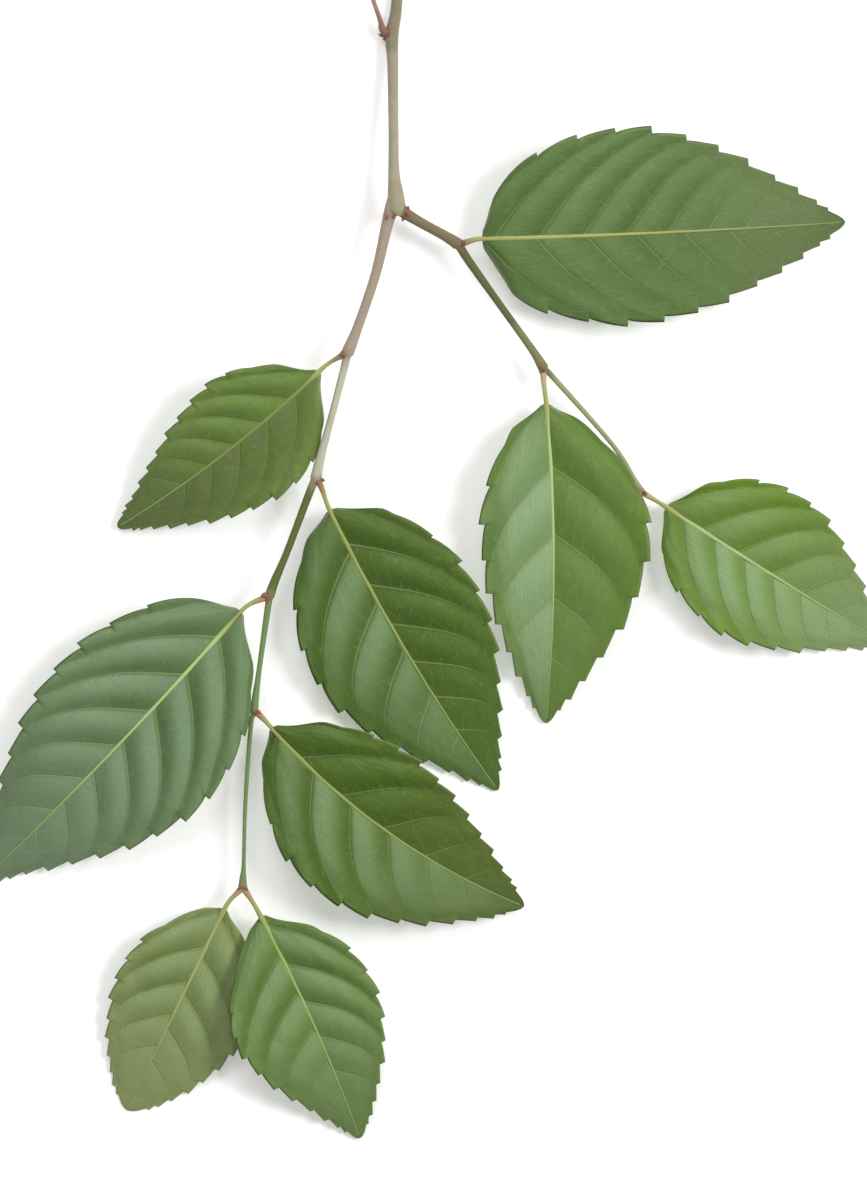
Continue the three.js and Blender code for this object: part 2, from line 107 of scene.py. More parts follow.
floor_mesh = bpy.data.meshes.new("table")
corners = [(x * TABLE_REACH, y * TABLE_REACH, 0) for x, y in ((-1, -1), (1, -1), (1, 1), (-1, 1))]
floor_mesh.from_pydata(corners, [], [(0, 1, 2, 3)])
floor = bpy.data.objects.new("table", floor_mesh)
scene.collection.objects.link(floor)
floor_paint = bpy.data.materials.new("white_table")
floor_paint.use_nodes = True
floor_shader = floor_paint.node_tree.nodes["Principled BSDF"].inputs
floor_shader["Base Color"].default_value = (TABLE_WHITE, TABLE_WHITE, TABLE_WHITE, 1.0)
floor_shader["Roughness"].default_value = 0.9
floor_shader["Emission Color"].default_value = (1.0, 1.0, 1.0, 1.0)
floor_shader["Emission Strength"].default_value = TABLE_GLOW
floor_mesh.materials.append(floor_paint)
print("camera lens", round(camera_data.lens), "mm, frame", round(FRAME_HEIGHT / MM), "mm high")

# %% [markdown]
# ## Sums as nodes
#
# A leaf is a rule: so far along the midrib, so far out, so high. In a node tree every plus and times is a
# Math node, and a hundred of them are hard to read. The small class below holds one socket and turns
# ordinary Python sums into Math nodes, so the rule can be read as a rule. It works in geometry trees and in
# shader trees alike.


# %% A value that grows Math nodes
def add(tree, kind, links=None, **settings):
    """A node with its settings made and its inputs linked to fields and sockets, or filled."""
    node = tree.nodes.new(kind)
    for key, value in settings.items():
        setattr(node, key, value)
    for label, value in (links or {}).items():
        if isinstance(value, Field):
            value = value.socket
        if isinstance(value, bpy.types.NodeSocket):
            tree.links.new(value, node.inputs[label])
        else:
            node.inputs[label].default_value = value
    return node


class Field:
    """A number that runs through a node tree."""

    def __init__(self, tree, socket):
        self.tree = tree
        self.socket = socket

    def math(self, operation, *others):
        values = dict(enumerate((self, *others)))
        node = add(self.tree, "ShaderNodeMath", values, operation=operation)
        return Field(self.tree, node.outputs[0])

    def __add__(self, other):
        return self.math("ADD", other)

    def __sub__(self, other):
        return self.math("SUBTRACT", other)

    def __mul__(self, other):
        return self.math("MULTIPLY", other)

    def __truediv__(self, other):
        return self.math("DIVIDE", other)

    def __pow__(self, other):
        return self.math("POWER", other)

    def __abs__(self):
        return self.math("ABSOLUTE")

    def __rsub__(self, other):
        return self.math("MULTIPLY_ADD", -1.0, other)

    __radd__ = __add__
    __rmul__ = __mul__


def larger(a, b):
    return a.math("MAXIMUM", b)


def smaller(a, b):
    return a.math("MINIMUM", b)


def above(a, b):
    """1 where a is larger than b, and 0 elsewhere."""
    return a.math("GREATER_THAN", b)


def between(a, low, high):
    return smaller(larger(a, low), high)


def wave(a):
    """A sine that repeats every 1."""
    return (a * (2 * math.pi)).math("SINE")


def part(a):
    """What is left after the whole number."""
    return a.math("FRACT")


def blend(a, b, share):
    return a + (b - a) * share


def ease(a, low, high):
    """0 below low, 1 above high and a smooth step between."""
    values = {"Value": a, "From Min": low, "From Max": high}
    node = add(a.tree, "ShaderNodeMapRange", values, interpolation_type="SMOOTHSTEP")
    return Field(a.tree, node.outputs["Result"])


def split(tree, socket):
    node = add(tree, "ShaderNodeSeparateXYZ", {0: socket})
    return [Field(tree, out) for out in node.outputs]


def pack(tree, values):
    return add(tree, "ShaderNodeCombineXYZ", dict(enumerate(values))).outputs[0]


def noise(tree, place, scale, detail=2.0):
    """Soft noise round 0, from about -0.5 to 0.5."""
    node = add(tree, "ShaderNodeTexNoise", {"Scale": scale, "Detail": detail, "Vector": place})
    return Field(tree, node.outputs[0]) - 0.5


# %% [markdown]
# Every tree gets named inputs, so its sizes can be changed in the modifier panel. A modifier keeps them
# under the sockets' identifiers, and `grow` fills those in, runs the tree and keeps the result as a plain
# mesh.


# %% Making a tree and growing a mesh from it
def new_geometry_tree(name, inputs):
    """A geometry tree with these inputs; returns it with its input sockets by name."""
    tree = bpy.data.node_groups.new(name, "GeometryNodeTree")
    tree.interface.new_socket("Geometry", in_out="OUTPUT", socket_type="NodeSocketGeometry")
    for label, kind in inputs.items():
        tree.interface.new_socket(label, in_out="INPUT", socket_type=kind)
    entry = tree.nodes.new("NodeGroupInput")
    return tree, {label: entry.outputs[label] for label in inputs}


def store(tree, geometry, values):
    """Keeps values on the points under their names, for the material to read."""
    for name, value in values.items():
        node = add(
            tree,
            "GeometryNodeStoreNamedAttribute",
            {"Geometry": geometry, "Name": name, "Value": value},
            data_type="FLOAT",
            domain="POINT",
        )
        geometry = node.outputs["Geometry"]
    return geometry


def tube(tree, curve, corners):
    """A closed tube along a curve, as thick as the curve's own radius says."""
    ring = add(tree, "GeometryNodeCurvePrimitiveCircle", {"Resolution": corners, "Radius": 1.0})
    radius = tree.nodes.new("GeometryNodeInputRadius").outputs[0]
    links = {"Curve": curve, "Profile Curve": ring.outputs[0], "Scale": radius, "Fill Caps": True}
    return add(tree, "GeometryNodeCurveToMesh", links).outputs[0]


def end_tree(tree, geometry, material):
    """Every tree ends in real geometry with its material."""
    real = add(tree, "GeometryNodeRealizeInstances", {"Geometry": geometry})
    painted = add(tree, "GeometryNodeSetMaterial", {"Geometry": real.outputs[0], "Material": material})
    leave = tree.nodes.new("NodeGroupOutput")
    tree.links.new(painted.outputs[0], leave.inputs[0])
    for place, node in enumerate(tree.nodes):
        node.location = (190 * (place // 12), -170 * (place % 12))


def grow(name, tree, values):
    """Runs a tree with these inputs and returns a plain mesh object."""
    seedling = bpy.data.objects.new(name + "_seedling", bpy.data.meshes.new(name + "_seedling"))
    scene.collection.objects.link(seedling)
    modifier = seedling.modifiers.new("grow", "NODES")
    modifier.node_group = tree
    for item in tree.interface.items_tree:
        if item.in_out == "INPUT":
            modifier[item.identifier] = values[item.name]
    depsgraph = bpy.context.evaluated_depsgraph_get()
    mesh = bpy.data.meshes.new_from_object(seedling.evaluated_get(depsgraph), depsgraph=depsgraph)
    seedling.modifiers.remove(modifier)
    bpy.data.objects.remove(seedling)
    mesh.name = name
    piece = bpy.data.objects.new(name, mesh)
    scene.collection.objects.link(piece)
    return piece


# %% [markdown]
# ## The rule of a mulberry leaf
#
# A mulberry leaf has a midrib, two unequal halves, forward-leaning teeth that crowd towards the tip, and a
# blade that puffs up between its side veins. One grid makes the whole blade: its columns run over the top
# from the left edge to the right and back underneath, and its rows run from the stalk to the tip, fourteen
# to each tooth. The grid has no shape of its own: each point looks up where the rule puts it. The same
# numbers, such as how far along and in which panel between two veins a point lies, are stored for the
# material, so that the painted veins lie exactly in the modelled creases.

# %% Sizes that all leaves share, in millimetres
ROWS_PER_TOOTH = 14
COLUMNS_ROUND = 112
BLADE_THICKNESS = 0.45
TIP_BLUNTNESS = 1.6
TIP_POWER = 1.9
TOOTH_TIP = 12 / 14
TOOTH_CROWDING = 1.45
TOOTH_LEAN = 0.12
TOOTH_DEPTH = 0.1  # of the way to the next tooth
TOOTH_LEAST_DEPTH = 0.5
TOOTH_UNEVENNESS = 0.22
TEETH_END = 0.955
VEIN_CROWDING = 0.85
VEIN_SLANT = 0.21
VEIN_BEND = 0.14
PANEL_SHIFT = 8  # keeps the count of panels above 0
PANEL_CREST = 0.62
PANEL_ROUNDNESS = 1.7
CRUMPLE = 1.6
EDGE_WAVES = 1.7
STALK_SHARE = 0.14  # of the points along stalk and midrib
STALK_RADIUS = 0.55
FOOT_SWELLING = 0.3
BASE_SWELLING = 0.17
RIB_RADIUS = 0.6
RIB_TIP_RADIUS = 0.12
RIB_CREST = 0.3
ROD_POINTS = 120
ROD_CORNERS = 14

VECTOR = "NodeSocketVector"
FLOAT = "NodeSocketFloat"
HALF_NUMBERS = (
    "width",
    "fullness",
    "wedge",
    "taper",
    "teeth from",
    "veins",
    "vein start",
    "rise",
    "curl",
)
LEAF_INPUTS = {
    **dict.fromkeys(("Foot", "Foot handle", "Base handle", "Base", "Bend", "Tip"), VECTOR),
    **dict.fromkeys(("Length", "Widest", "Quilt", "Wave", "Wave phase", "Seed"), FLOAT),
    **dict.fromkeys((half + label for label in HALF_NUMBERS for half in ("Left ", "Right ")), FLOAT),
    "Teeth": "NodeSocketInt",
    "Material": "NodeSocketMaterial",
}


def bezier(points, t):
    """A Bezier curve through a tree: the corners are lists of three fields."""
    while len(points) > 1:
        points = [
            [blend(one, two, t) for one, two in zip(first, second)]
            for first, second in zip(points, points[1:])
        ]
    return points[0]


# %% The blade: where each point of the grid goes
def blade_of(tree, inputs):
    """The closed, toothed and quilted blade."""
    number = {label: Field(tree, socket) for label, socket in inputs.items()}
    teeth = number["Teeth"]
    rows = (teeth + 2) * ROWS_PER_TOOTH + 1
    grid = add(
        tree,
        "GeometryNodeMeshGrid",
        {"Size X": 1.0, "Size Y": 1.0, "Vertices X": COLUMNS_ROUND + 1, "Vertices Y": rows},
    )
    flat = tree.nodes.new("GeometryNodeInputPosition").outputs[0]
    round_share, row_share, _ = split(tree, flat)
    round_share = round_share + 0.5
    row_share = row_share + 0.5

    # Across: 1 at the left edge, 0 on the midrib, -1 at the right edge, and which face it is.
    across = abs(round_share * 4 - 2) - 1
    share = abs(across)
    right = above(across * -1, 0)
    under = above(round_share, 0.5)

    def side(label):
        return blend(number["Left " + label], number["Right " + label], right)

    # Along: rows count teeth, with one tooth's worth of rows before the first and after the last.
    count = row_share * (teeth + 2) - 1
    tooth = between(count, 0, teeth)
    middle_from = (number["Left teeth from"] + number["Right teeth from"]) * 0.5
    teeth_from = blend(middle_from, side("teeth from"), share)
    bare = between(count + 1, 0, 1) ** 1.6
    crowd = (1 - tooth / teeth) ** TOOTH_CROWDING
    end = 1 - (1 - between(count - teeth, 0, 1)) ** 2
    t = teeth_from * bare + (TEETH_END - teeth_from) * (1 - crowd) + end * (1 - TEETH_END)

    # One tooth: a long rounded back, a point that leans forward, and a short cut back to the notch.
    which = tooth.math("FLOOR")
    phase = part(tooth)
    step = larger(1 - (which + 0.5) / teeth, 0.02) ** (TOOTH_CROWDING - 1)
    spacing = number["Length"] * (TEETH_END - teeth_from) * step * TOOTH_CROWDING / teeth
    depth = spacing * TOOTH_DEPTH + TOOTH_LEAST_DEPTH
    cut = (1 - phase) / (1 - TOOTH_TIP)
    uneven = wave(which * 0.38 + number["Seed"] + right * 0.27) * TOOTH_UNEVENNESS + 1
    toothed = ease(count, -0.35, 0.1) * (1 - ease(count, teeth - 0.1, teeth + 0.5))
    at_edge = ease(share, 0.8, 1.0) * toothed
    reach = (smaller((phase / TOOTH_TIP) ** 0.75, cut) * uneven - 0.5) * depth * at_edge
    lean = smaller((phase / TOOTH_TIP) ** 3, cut) * spacing * at_edge * TOOTH_LEAN

    # The smooth outline, closed at both ends.
    before = larger(1 - t / number["Widest"], 0)
    after = larger((t - number["Widest"]) / (1 - number["Widest"]), 0)
    fullness = larger(1 - before * before, 0) ** side("fullness")
    taper = larger(1 - after**TIP_POWER, 0) ** side("taper")
    blunt = larger(1 - t**40, 0) ** 0.5 * TIP_BLUNTNESS
    narrowed = ease(t, 0, side("wedge")) * 0.5 + 0.5
    profile = narrowed * fullness * taper
    half_width = (profile * side("width") + narrowed * blunt) * ease(row_share, 0, 0.01)
    out = share * half_width + reach

    # The quilt: side veins lie in creases and the panels between them puff up.
    root = t - (share * VEIN_SLANT + share**4 * VEIN_BEND) * profile
    panel = (1 - larger(1 - root, 0) ** VEIN_CROWDING) * side("veins") + side("vein start")
    from_middle = abs(part(panel + PANEL_SHIFT) * 2 - 1)
    swell = wave(share**0.75 * 0.5) * (1 - ease(t, 0.45, 0.9) * 0.75)
    quilt = swell * (PANEL_CREST - from_middle**PANEL_ROUNDNESS) * number["Quilt"]
    place = pack(tree, [t * 6 + number["Seed"] * 9, across * 3, number["Seed"]])
    crumple = noise(tree, place, 1.4, 1.0) * share * CRUMPLE

    base, bend, tip = (split(tree, inputs[label]) for label in ("Base", "Bend", "Tip"))
    midrib = bezier([base, bend, tip], t)
    run = [blend(b - a, c - b, t) for a, b, c in zip(base, bend, tip)]
    pace = (run[0] * run[0] + run[1] * run[1]) ** 0.5
    way = [run[0] / pace, run[1] / pace]
    sideways = out * across.math("SIGN")
    ripple = wave(t * EDGE_WAVES + number["Wave phase"] + right * 0.4) * number["Wave"]
    shape = side("rise") * out + (ripple - side("curl")) * share * share
    lift = (shape + quilt + crumple) * (1 - t**4)
    thickness = (1 - share**10) ** 0.5 * ease(row_share, 0, 0.02) * (1 - ease(row_share, 0.98, 1))
    top = larger(midrib[2] + lift, BLADE_THICKNESS)
    spot = [
        (midrib[0] - way[1] * sideways + way[0] * lean) * MM,
        (midrib[1] + way[0] * sideways + way[1] * lean) * MM,
        (top - thickness * under * BLADE_THICKNESS) * MM,
    ]

    kept = {"along": t, "across": across, "panel": panel, "under": under, "rib": 0.0, "foot": 0.0}
    geometry = store(tree, grid.outputs["Mesh"], kept)
    shaped = add(tree, "GeometryNodeSetPosition", {"Geometry": geometry, "Position": pack(tree, spot)})
    closed = add(tree, "GeometryNodeMergeByDistance", {"Geometry": shaped.outputs[0], "Distance": 1e-6})
    return closed.outputs[0]


# %% [markdown]
# The stalk and the midrib are one rod: it leaves the shoot, bends into line with the blade and then sinks
# into it, so that a little shows above and more stands out below. A curve with a changing radius is the
# natural way to make it.


# %% The stalk and midrib
def rib_of(tree, inputs):
    """A tapering rod from the shoot to the leaf's tip."""
    line = add(tree, "GeometryNodeCurvePrimitiveLine", {"End": (0.0, 0.0, 1.0)})
    many = add(tree, "GeometryNodeResampleCurve", {"Curve": line.outputs[0], "Count": ROD_POINTS})
    place = Field(tree, tree.nodes.new("GeometryNodeSplineParameter").outputs["Factor"])
    on_stalk = between(place / STALK_SHARE, 0, 1)
    t = between((place - STALK_SHARE) / (1 - STALK_SHARE), 0, 1) * 0.985
    in_blade = above(place, STALK_SHARE)
    labels = ("Foot", "Foot handle", "Base handle", "Base", "Bend", "Tip")
    foot, leave, arrive, base, bend, tip = (split(tree, inputs[label]) for label in labels)
    stalk = bezier([foot, leave, arrive, base], on_stalk)
    midrib = bezier([base, bend, tip], t)
    swollen = 1 - ease(on_stalk, 0.0, 0.45)
    stalk_radius = swollen * FOOT_SWELLING + STALK_RADIUS + ease(on_stalk, 0.5, 1.0) * BASE_SWELLING
    radius = blend(stalk_radius, (1 - t) ** 1.5 * RIB_RADIUS + RIB_TIP_RADIUS, in_blade)
    sunk = ease(t, 0.0, 0.1) * (radius - RIB_CREST * (1 - t * 0.6))
    height = larger(blend(stalk[2], midrib[2], in_blade), BLADE_THICKNESS) - sunk
    spot = [
        blend(stalk[0], midrib[0], in_blade) * MM,
        blend(stalk[1], midrib[1], in_blade) * MM,
        height * MM,
    ]
    kept = {"along": t, "across": 0.0, "panel": 0.5, "under": 0.0, "rib": 1.0, "foot": 1 - on_stalk}
    geometry = store(tree, many.outputs[0], kept)
    placed = add(tree, "GeometryNodeSetPosition", {"Geometry": geometry, "Position": pack(tree, spot)})
    thick = add(tree, "GeometryNodeSetCurveRadius", {"Curve": placed.outputs[0], "Radius": radius * MM})
    return tube(tree, thick.outputs[0], ROD_CORNERS)


leaf_tree, leaf_sockets = new_geometry_tree("mulberry_leaf", LEAF_INPUTS)
leaf_parts = leaf_tree.nodes.new("GeometryNodeJoinGeometry")
leaf_tree.links.new(rib_of(leaf_tree, leaf_sockets), leaf_parts.inputs[0])
leaf_tree.links.new(blade_of(leaf_tree, leaf_sockets), leaf_parts.inputs[0])
leaf_smooth = add(leaf_tree, "GeometryNodeSetShadeSmooth", {"Geometry": leaf_parts.outputs[0]})
end_tree(leaf_tree, leaf_smooth.outputs[0], leaf_sockets["Material"])
print("leaf tree:", len(leaf_tree.nodes), "nodes")

# %% [markdown]
# ## Painting a leaf
#
# The paint reads the numbers that the tree stored. `panel` counts the side veins: a whole number is a vein,
# so the distance to the nearest whole number draws the veins, and lines across a panel draw the ladder of
# finer veins. A cell pattern is the finest net. One node group does this for all leaves, and each leaf's
# material gives it its own greens.


# %% Colours and the leaf paint group
BRIGHT_ROOM = 1.06  # the room is lit this much brighter than white, to keep the table clean
# The pale grey-green of the painted sheen on the leaves.
SHEEN_GREY = (150, 178, 134)


def paint(red, green, blue):
    """A colour as it looks on a screen, 0 to 255, as the linear colour that gives it in this room."""
    return tuple(
        (v / 12.92 if v <= 0.04045 else ((v + 0.055) / 1.055) ** 2.4) / BRIGHT_ROOM
        for v in (red / 255, green / 255, blue / 255)
    ) + (1.0,)


def new_shader_group(name, inputs, outputs):
    """A shader node group; returns it with its input sockets by name and its output node."""
    tree = bpy.data.node_groups.new(name, "ShaderNodeTree")
    for label, (kind, value) in inputs.items():
        socket = tree.interface.new_socket(label, in_out="INPUT", socket_type=kind)
        socket.default_value = value
    for label, kind in outputs.items():
        tree.interface.new_socket(label, in_out="OUTPUT", socket_type=kind)
    entry = tree.nodes.new("NodeGroupInput")
    return tree, {label: entry.outputs[label] for label in inputs}, tree.nodes.new("NodeGroupOutput")


def attribute(tree, name):
    node = add(tree, "ShaderNodeAttribute", attribute_name=name)
    return Field(tree, node.outputs["Fac"])


def tint(tree, first, second, share):
    """Mixes two colours by a field. The node keeps its colours in inputs 6 and 7 and in output 2."""
    node = add(tree, "ShaderNodeMix", {"Factor": share, 6: first, 7: second}, data_type="RGBA")
    return node.outputs[2]


COLOUR = "NodeSocketColor"
leaf_paint, leaf_in, leaf_out = new_shader_group(
    "leaf_paint",
    {
        "Deep green": (COLOUR, paint(70, 98, 40)),
        "Light green": (COLOUR, paint(104, 134, 66)),
        "Tip green": (COLOUR, paint(96, 110, 76)),
        "Tip strength": (FLOAT, 0.35),
        "Vein strength": (FLOAT, 0.3),
        # Painted sheen: its colour, its strength on each half and how evenly it spreads.
        "Sheen colour": (COLOUR, paint(*SHEEN_GREY)),
        "Left sheen": (FLOAT, 0.0),
        "Right sheen": (FLOAT, 0.0),
        "Sheen evenness": (FLOAT, 0.0),
        "Vein colour": (COLOUR, paint(146, 166, 100)),
        "Midrib colour": (COLOUR, paint(176, 186, 116)),
        "Stalk colour": (COLOUR, paint(164, 168, 96)),
        "Foot colour": (COLOUR, paint(148, 104, 88)),
        "Underside": (COLOUR, paint(142, 160, 112)),
        "Edge colour": (COLOUR, paint(120, 98, 62)),
        "Panel width": (FLOAT, 9.0),
    },
    {"Color": COLOUR, "Roughness": FLOAT, "Height": FLOAT},
)
along = attribute(leaf_paint, "along")
across = attribute(leaf_paint, "across")
share = abs(across)
panel = attribute(leaf_paint, "panel") + PANEL_SHIFT
under = attribute(leaf_paint, "under")
rib = attribute(leaf_paint, "rib")
foot = attribute(leaf_paint, "foot")
spot = leaf_paint.nodes.new("ShaderNodeTexCoord").outputs["Object"]
cloudy = noise(leaf_paint, spot, 45.0, 3.0)
puckered = noise(leaf_paint, spot, 420.0, 2.0)
grainy = noise(leaf_paint, spot, 1600.0, 2.0)

# Side veins: thin lines where panel is a whole number. They fade towards the edge and the tip.
panel_width = Field(leaf_paint, leaf_in["Panel width"])
from_vein = abs(part(panel + 0.5) - 0.5) * panel_width
vein_width = 0.34 - share * 0.2
vein = (1 - ease(from_vein, vein_width * 0.3, vein_width)) * (1 - ease(share, 0.6, 0.95))
vein = vein * (1 - ease(along, 0.7, 0.92))
# The ladder between them: cells that are long across a panel and short along it.
ladder = add(
    leaf_paint,
    "ShaderNodeTexVoronoi",
    {"Scale": 1.0, "Vector": pack(leaf_paint, [panel * 1.3, share * 17 + cloudy * 1.5, 0.0])},
    voronoi_dimensions="2D",
    feature="DISTANCE_TO_EDGE",
)
rung = 1 - ease(Field(leaf_paint, ladder.outputs["Distance"]), 0.01, 0.09)
# The finest net of veins.
cells = add(
    leaf_paint,
    "ShaderNodeTexVoronoi",
    {"Scale": 850.0, "Vector": spot},
    feature="DISTANCE_TO_EDGE",
)
net = 1 - ease(Field(leaf_paint, cells.outputs["Distance"]), 0.0, 0.12)

# Painted light and shade: each panel is painted light just after its vein and darker towards the next one,
# as if the puffed panel faced the light there and turned away before the next vein, less so towards the
# tip.
after_vein = part(panel)
lit = ease(after_vein, 0.0, 0.14) * (1 - ease(after_vein, 0.3, 0.92))
lit = blend(lit, 0.45, ease(along, 0.4, 0.85))
# The deep and light greens are mixed by this painted light and shade, together with cloudy random tone.
lightness = between(lit * 0.6 + cloudy * 0.9 + puckered * 0.3 + 0.22, 0, 1)
green = tint(leaf_paint, leaf_in["Deep green"], leaf_in["Light green"], lightness)
tip_strength = Field(leaf_paint, leaf_in["Tip strength"])
green = tint(leaf_paint, green, leaf_in["Tip green"], ease(along, 0.35, 1.0) * tip_strength)
# Painted sheen: a pale grey-green laid over the green. It is strongest in each panel just after its vein,
# where the puffed panel would catch the light, and weak near the stalk, the tip and the edge. Each half has
# its own strength, and the evenness spreads it more evenly over the half.
left_sheen = Field(leaf_paint, leaf_in["Left sheen"])
right_sheen = Field(leaf_paint, leaf_in["Right sheen"])
half_sheen = blend(left_sheen, right_sheen, above(across * -1, 0))
painted_sheen = half_sheen * ease(along, -0.15, 0.3) * (1 - ease(along, 0.72, 1.0) * 0.5)
painted_sheen = painted_sheen * (1 - ease(share, 0.5, 0.95) * 0.75)
sheen_evenness = Field(leaf_paint, leaf_in["Sheen evenness"])
painted_sheen = painted_sheen * blend(lit * 1.1 + 0.15 + cloudy * 0.6, lit * 0.3 + 0.6 + cloudy * 0.3, sheen_evenness)
green = tint(leaf_paint, green, leaf_in["Sheen colour"], between(painted_sheen, 0, 1))
vein_strength = Field(leaf_paint, leaf_in["Vein strength"])
green = tint(leaf_paint, green, leaf_in["Vein colour"], vein * vein_strength)
green = tint(leaf_paint, green, leaf_in["Vein colour"], rung * 0.12 + net * 0.06)
green = tint(leaf_paint, green, leaf_in["Edge colour"], ease(share, 0.98, 1.0) * 0.3)
pale = tint(leaf_paint, leaf_in["Underside"], leaf_in["Midrib colour"], vein * 0.8 + rung * 0.25)
green = tint(leaf_paint, green, pale, under)
rod_colour = tint(leaf_paint, leaf_in["Stalk colour"], leaf_in["Midrib colour"], ease(along, 0.0, 0.12))
rod_colour = tint(leaf_paint, rod_colour, leaf_in["Vein colour"], ease(along, 0.3, 0.95))
rod_colour = tint(leaf_paint, rod_colour, leaf_in["Foot colour"], ease(foot, 0.2, 0.85))
leaf_colour = tint(leaf_paint, green, rod_colour, rib)
leaf_paint.links.new(leaf_colour, leaf_out.inputs["Color"])
leaf_rough = 0.44 + cloudy * 0.12 + vein * 0.08 + under * 0.22
leaf_paint.links.new(leaf_rough.socket, leaf_out.inputs["Roughness"])
relief = (1 - under * 2) * (vein * -0.6 - rung * 0.2 - net * 0.08) + puckered * 0.9 + grainy * 0.15
relief = relief * (1 - rib)
leaf_paint.links.new(relief.socket, leaf_out.inputs["Height"])
print("leaf paint:", len(leaf_paint.nodes), "nodes")


# %% [markdown]
# A material holds the shader itself: the group's colour, roughness and height go in, and the gloss is set
# on the shader's own sockets.


# %% A material from a paint group
def new_material(name, group, values, relief_height, coat=0.0):
    """A Principled material fed by one of the paint groups."""
    material = bpy.data.materials.new(name)
    material.use_nodes = True
    tree = material.node_tree
    shader = tree.nodes["Principled BSDF"]
    mixer = add(tree, "ShaderNodeGroup", node_tree=group)
    for label, value in values.items():
        mixer.inputs[label].default_value = value
    relief = {"Strength": 1.0, "Distance": relief_height * MM, "Height": mixer.outputs["Height"]}
    bump = add(tree, "ShaderNodeBump", relief)
    tree.links.new(bump.outputs["Normal"], shader.inputs["Normal"])
    tree.links.new(mixer.outputs["Color"], shader.inputs["Base Color"])
    tree.links.new(mixer.outputs["Roughness"], shader.inputs["Roughness"])
    shader.inputs["Specular IOR Level"].default_value = 0.4
    shader.inputs["Coat Weight"].default_value = coat
    shader.inputs["Coat Roughness"].default_value = 0.35
    return material


# %% [markdown]
# ## The old twig and the two shoots
#
# Each stem is a path with a radius at every place: it swells at the joints where leaves sit. The places are
# the ones that the solids use. They come before the leaves, because each stalk starts from a place on a
# shoot.

# %% The paths, in millimetres: x, y, z and radius
TWIG_PATH = [
    (-8.9, 144.2, 1.38, 1.36),
    (-9.4, 137.0, 1.5, 1.4),
    (-10.4, 131.0, 2.4, 1.65),
    (-10.2, 124.0, 3.4, 1.38),
    (-10.0, 108.0, 5.6, 1.25),
    (-9.9, 97.0, 6.8, 1.4),
    (-9.4, 90.5, 7.4, 2.1),
    (-9.3, 87.2, 7.5, 2.35),
]
LEFT_SHOOT_PATH = [
    (-10.75, 86.5, 7.5, 1.7),
    (-11.8, 82.6, 7.6, 1.45),
    (-14.5, 71.0, 7.9, 1.25),
    (-18.8, 58.2, 8.4, 1.25),
    (-21.4, 51.6, 8.5, 1.6),
    (-22.6, 46.5, 8.6, 0.98),
    (-25.7, 34.5, 8.9, 0.9),
    (-28.2, 25.5, 9.0, 1.1),
    (-29.3, 20.5, 9.0, 1.4),
    (-31.1, 16.2, 8.9, 1.0),
    (-36.4, 2.2, 8.7, 0.88),
    (-39.6, -5.4, 8.5, 1.1),
    (-40.8, -8.9, 8.5, 1.25),
    (-41.5, -13.6, 8.4, 0.8),
    (-43.4, -27.0, 7.8, 0.66),
    (-44.4, -34.6, 7.5, 0.9),
    (-44.7, -37.6, 7.5, 1.0),
    (-45.6, -42.0, 7.4, 0.58),
    (-46.9, -60.5, 6.8, 0.52),
    (-47.3, -75.0, 6.3, 0.5),
    (-47.5, -79.2, 6.1, 0.85),
    (-47.6, -81.6, 6.0, 1.15),
]
RIGHT_SHOOT_PATH = [
    (-7.0, 86.4, 7.5, 1.5),
    (-2.7, 83.8, 7.5, 1.3),
    (2.6, 80.9, 7.5, 1.3),
    (6.2, 78.6, 7.5, 1.5),
    (9.3, 73.8, 7.4, 1.05),
    (16.7, 63.4, 7.2, 0.9),
    (24.6, 52.4, 7.0, 1.0),
    (27.4, 47.9, 6.8, 1.35),
    (30.4, 44.9, 6.4, 0.72),
    (44.7, 28.7, 5.0, 0.6),
    (50.2, 19.8, 4.6, 0.75),
    (51.9, 17.0, 4.5, 1.0),
]
BARE_STALK_PATH = [
    (-12.75, 132.6, 3.2, 0.95),
    (-13.4, 135.0, 3.5, 0.6),
    (-16.4, 143.6, 4.2, 0.55),
]
# The rounded end of the twig between the shoots, and where each path begins inside the stem that it
# grows from.
TWIG_END = [(-9.6, 86.7, 7.4, 2.0), (-9.7, 86.3, 7.3, 1.3), (-9.7, 86.1, 7.2, 0.4)]
LEFT_SHOOT_START = [(-9.9, 89.6, 7.45, 1.8)]
RIGHT_SHOOT_START = [(-9.0, 88.2, 7.45, 1.7)]
BARE_STALK_START = [(-11.3, 131.2, 2.9, 1.1)]
# Where leaves sit: the shoot steps down to a thinner one right after each.
LEFT_SHOOT_JOINTS = [4, 8, 12, 16]
RIGHT_SHOOT_JOINTS = [3, 7]
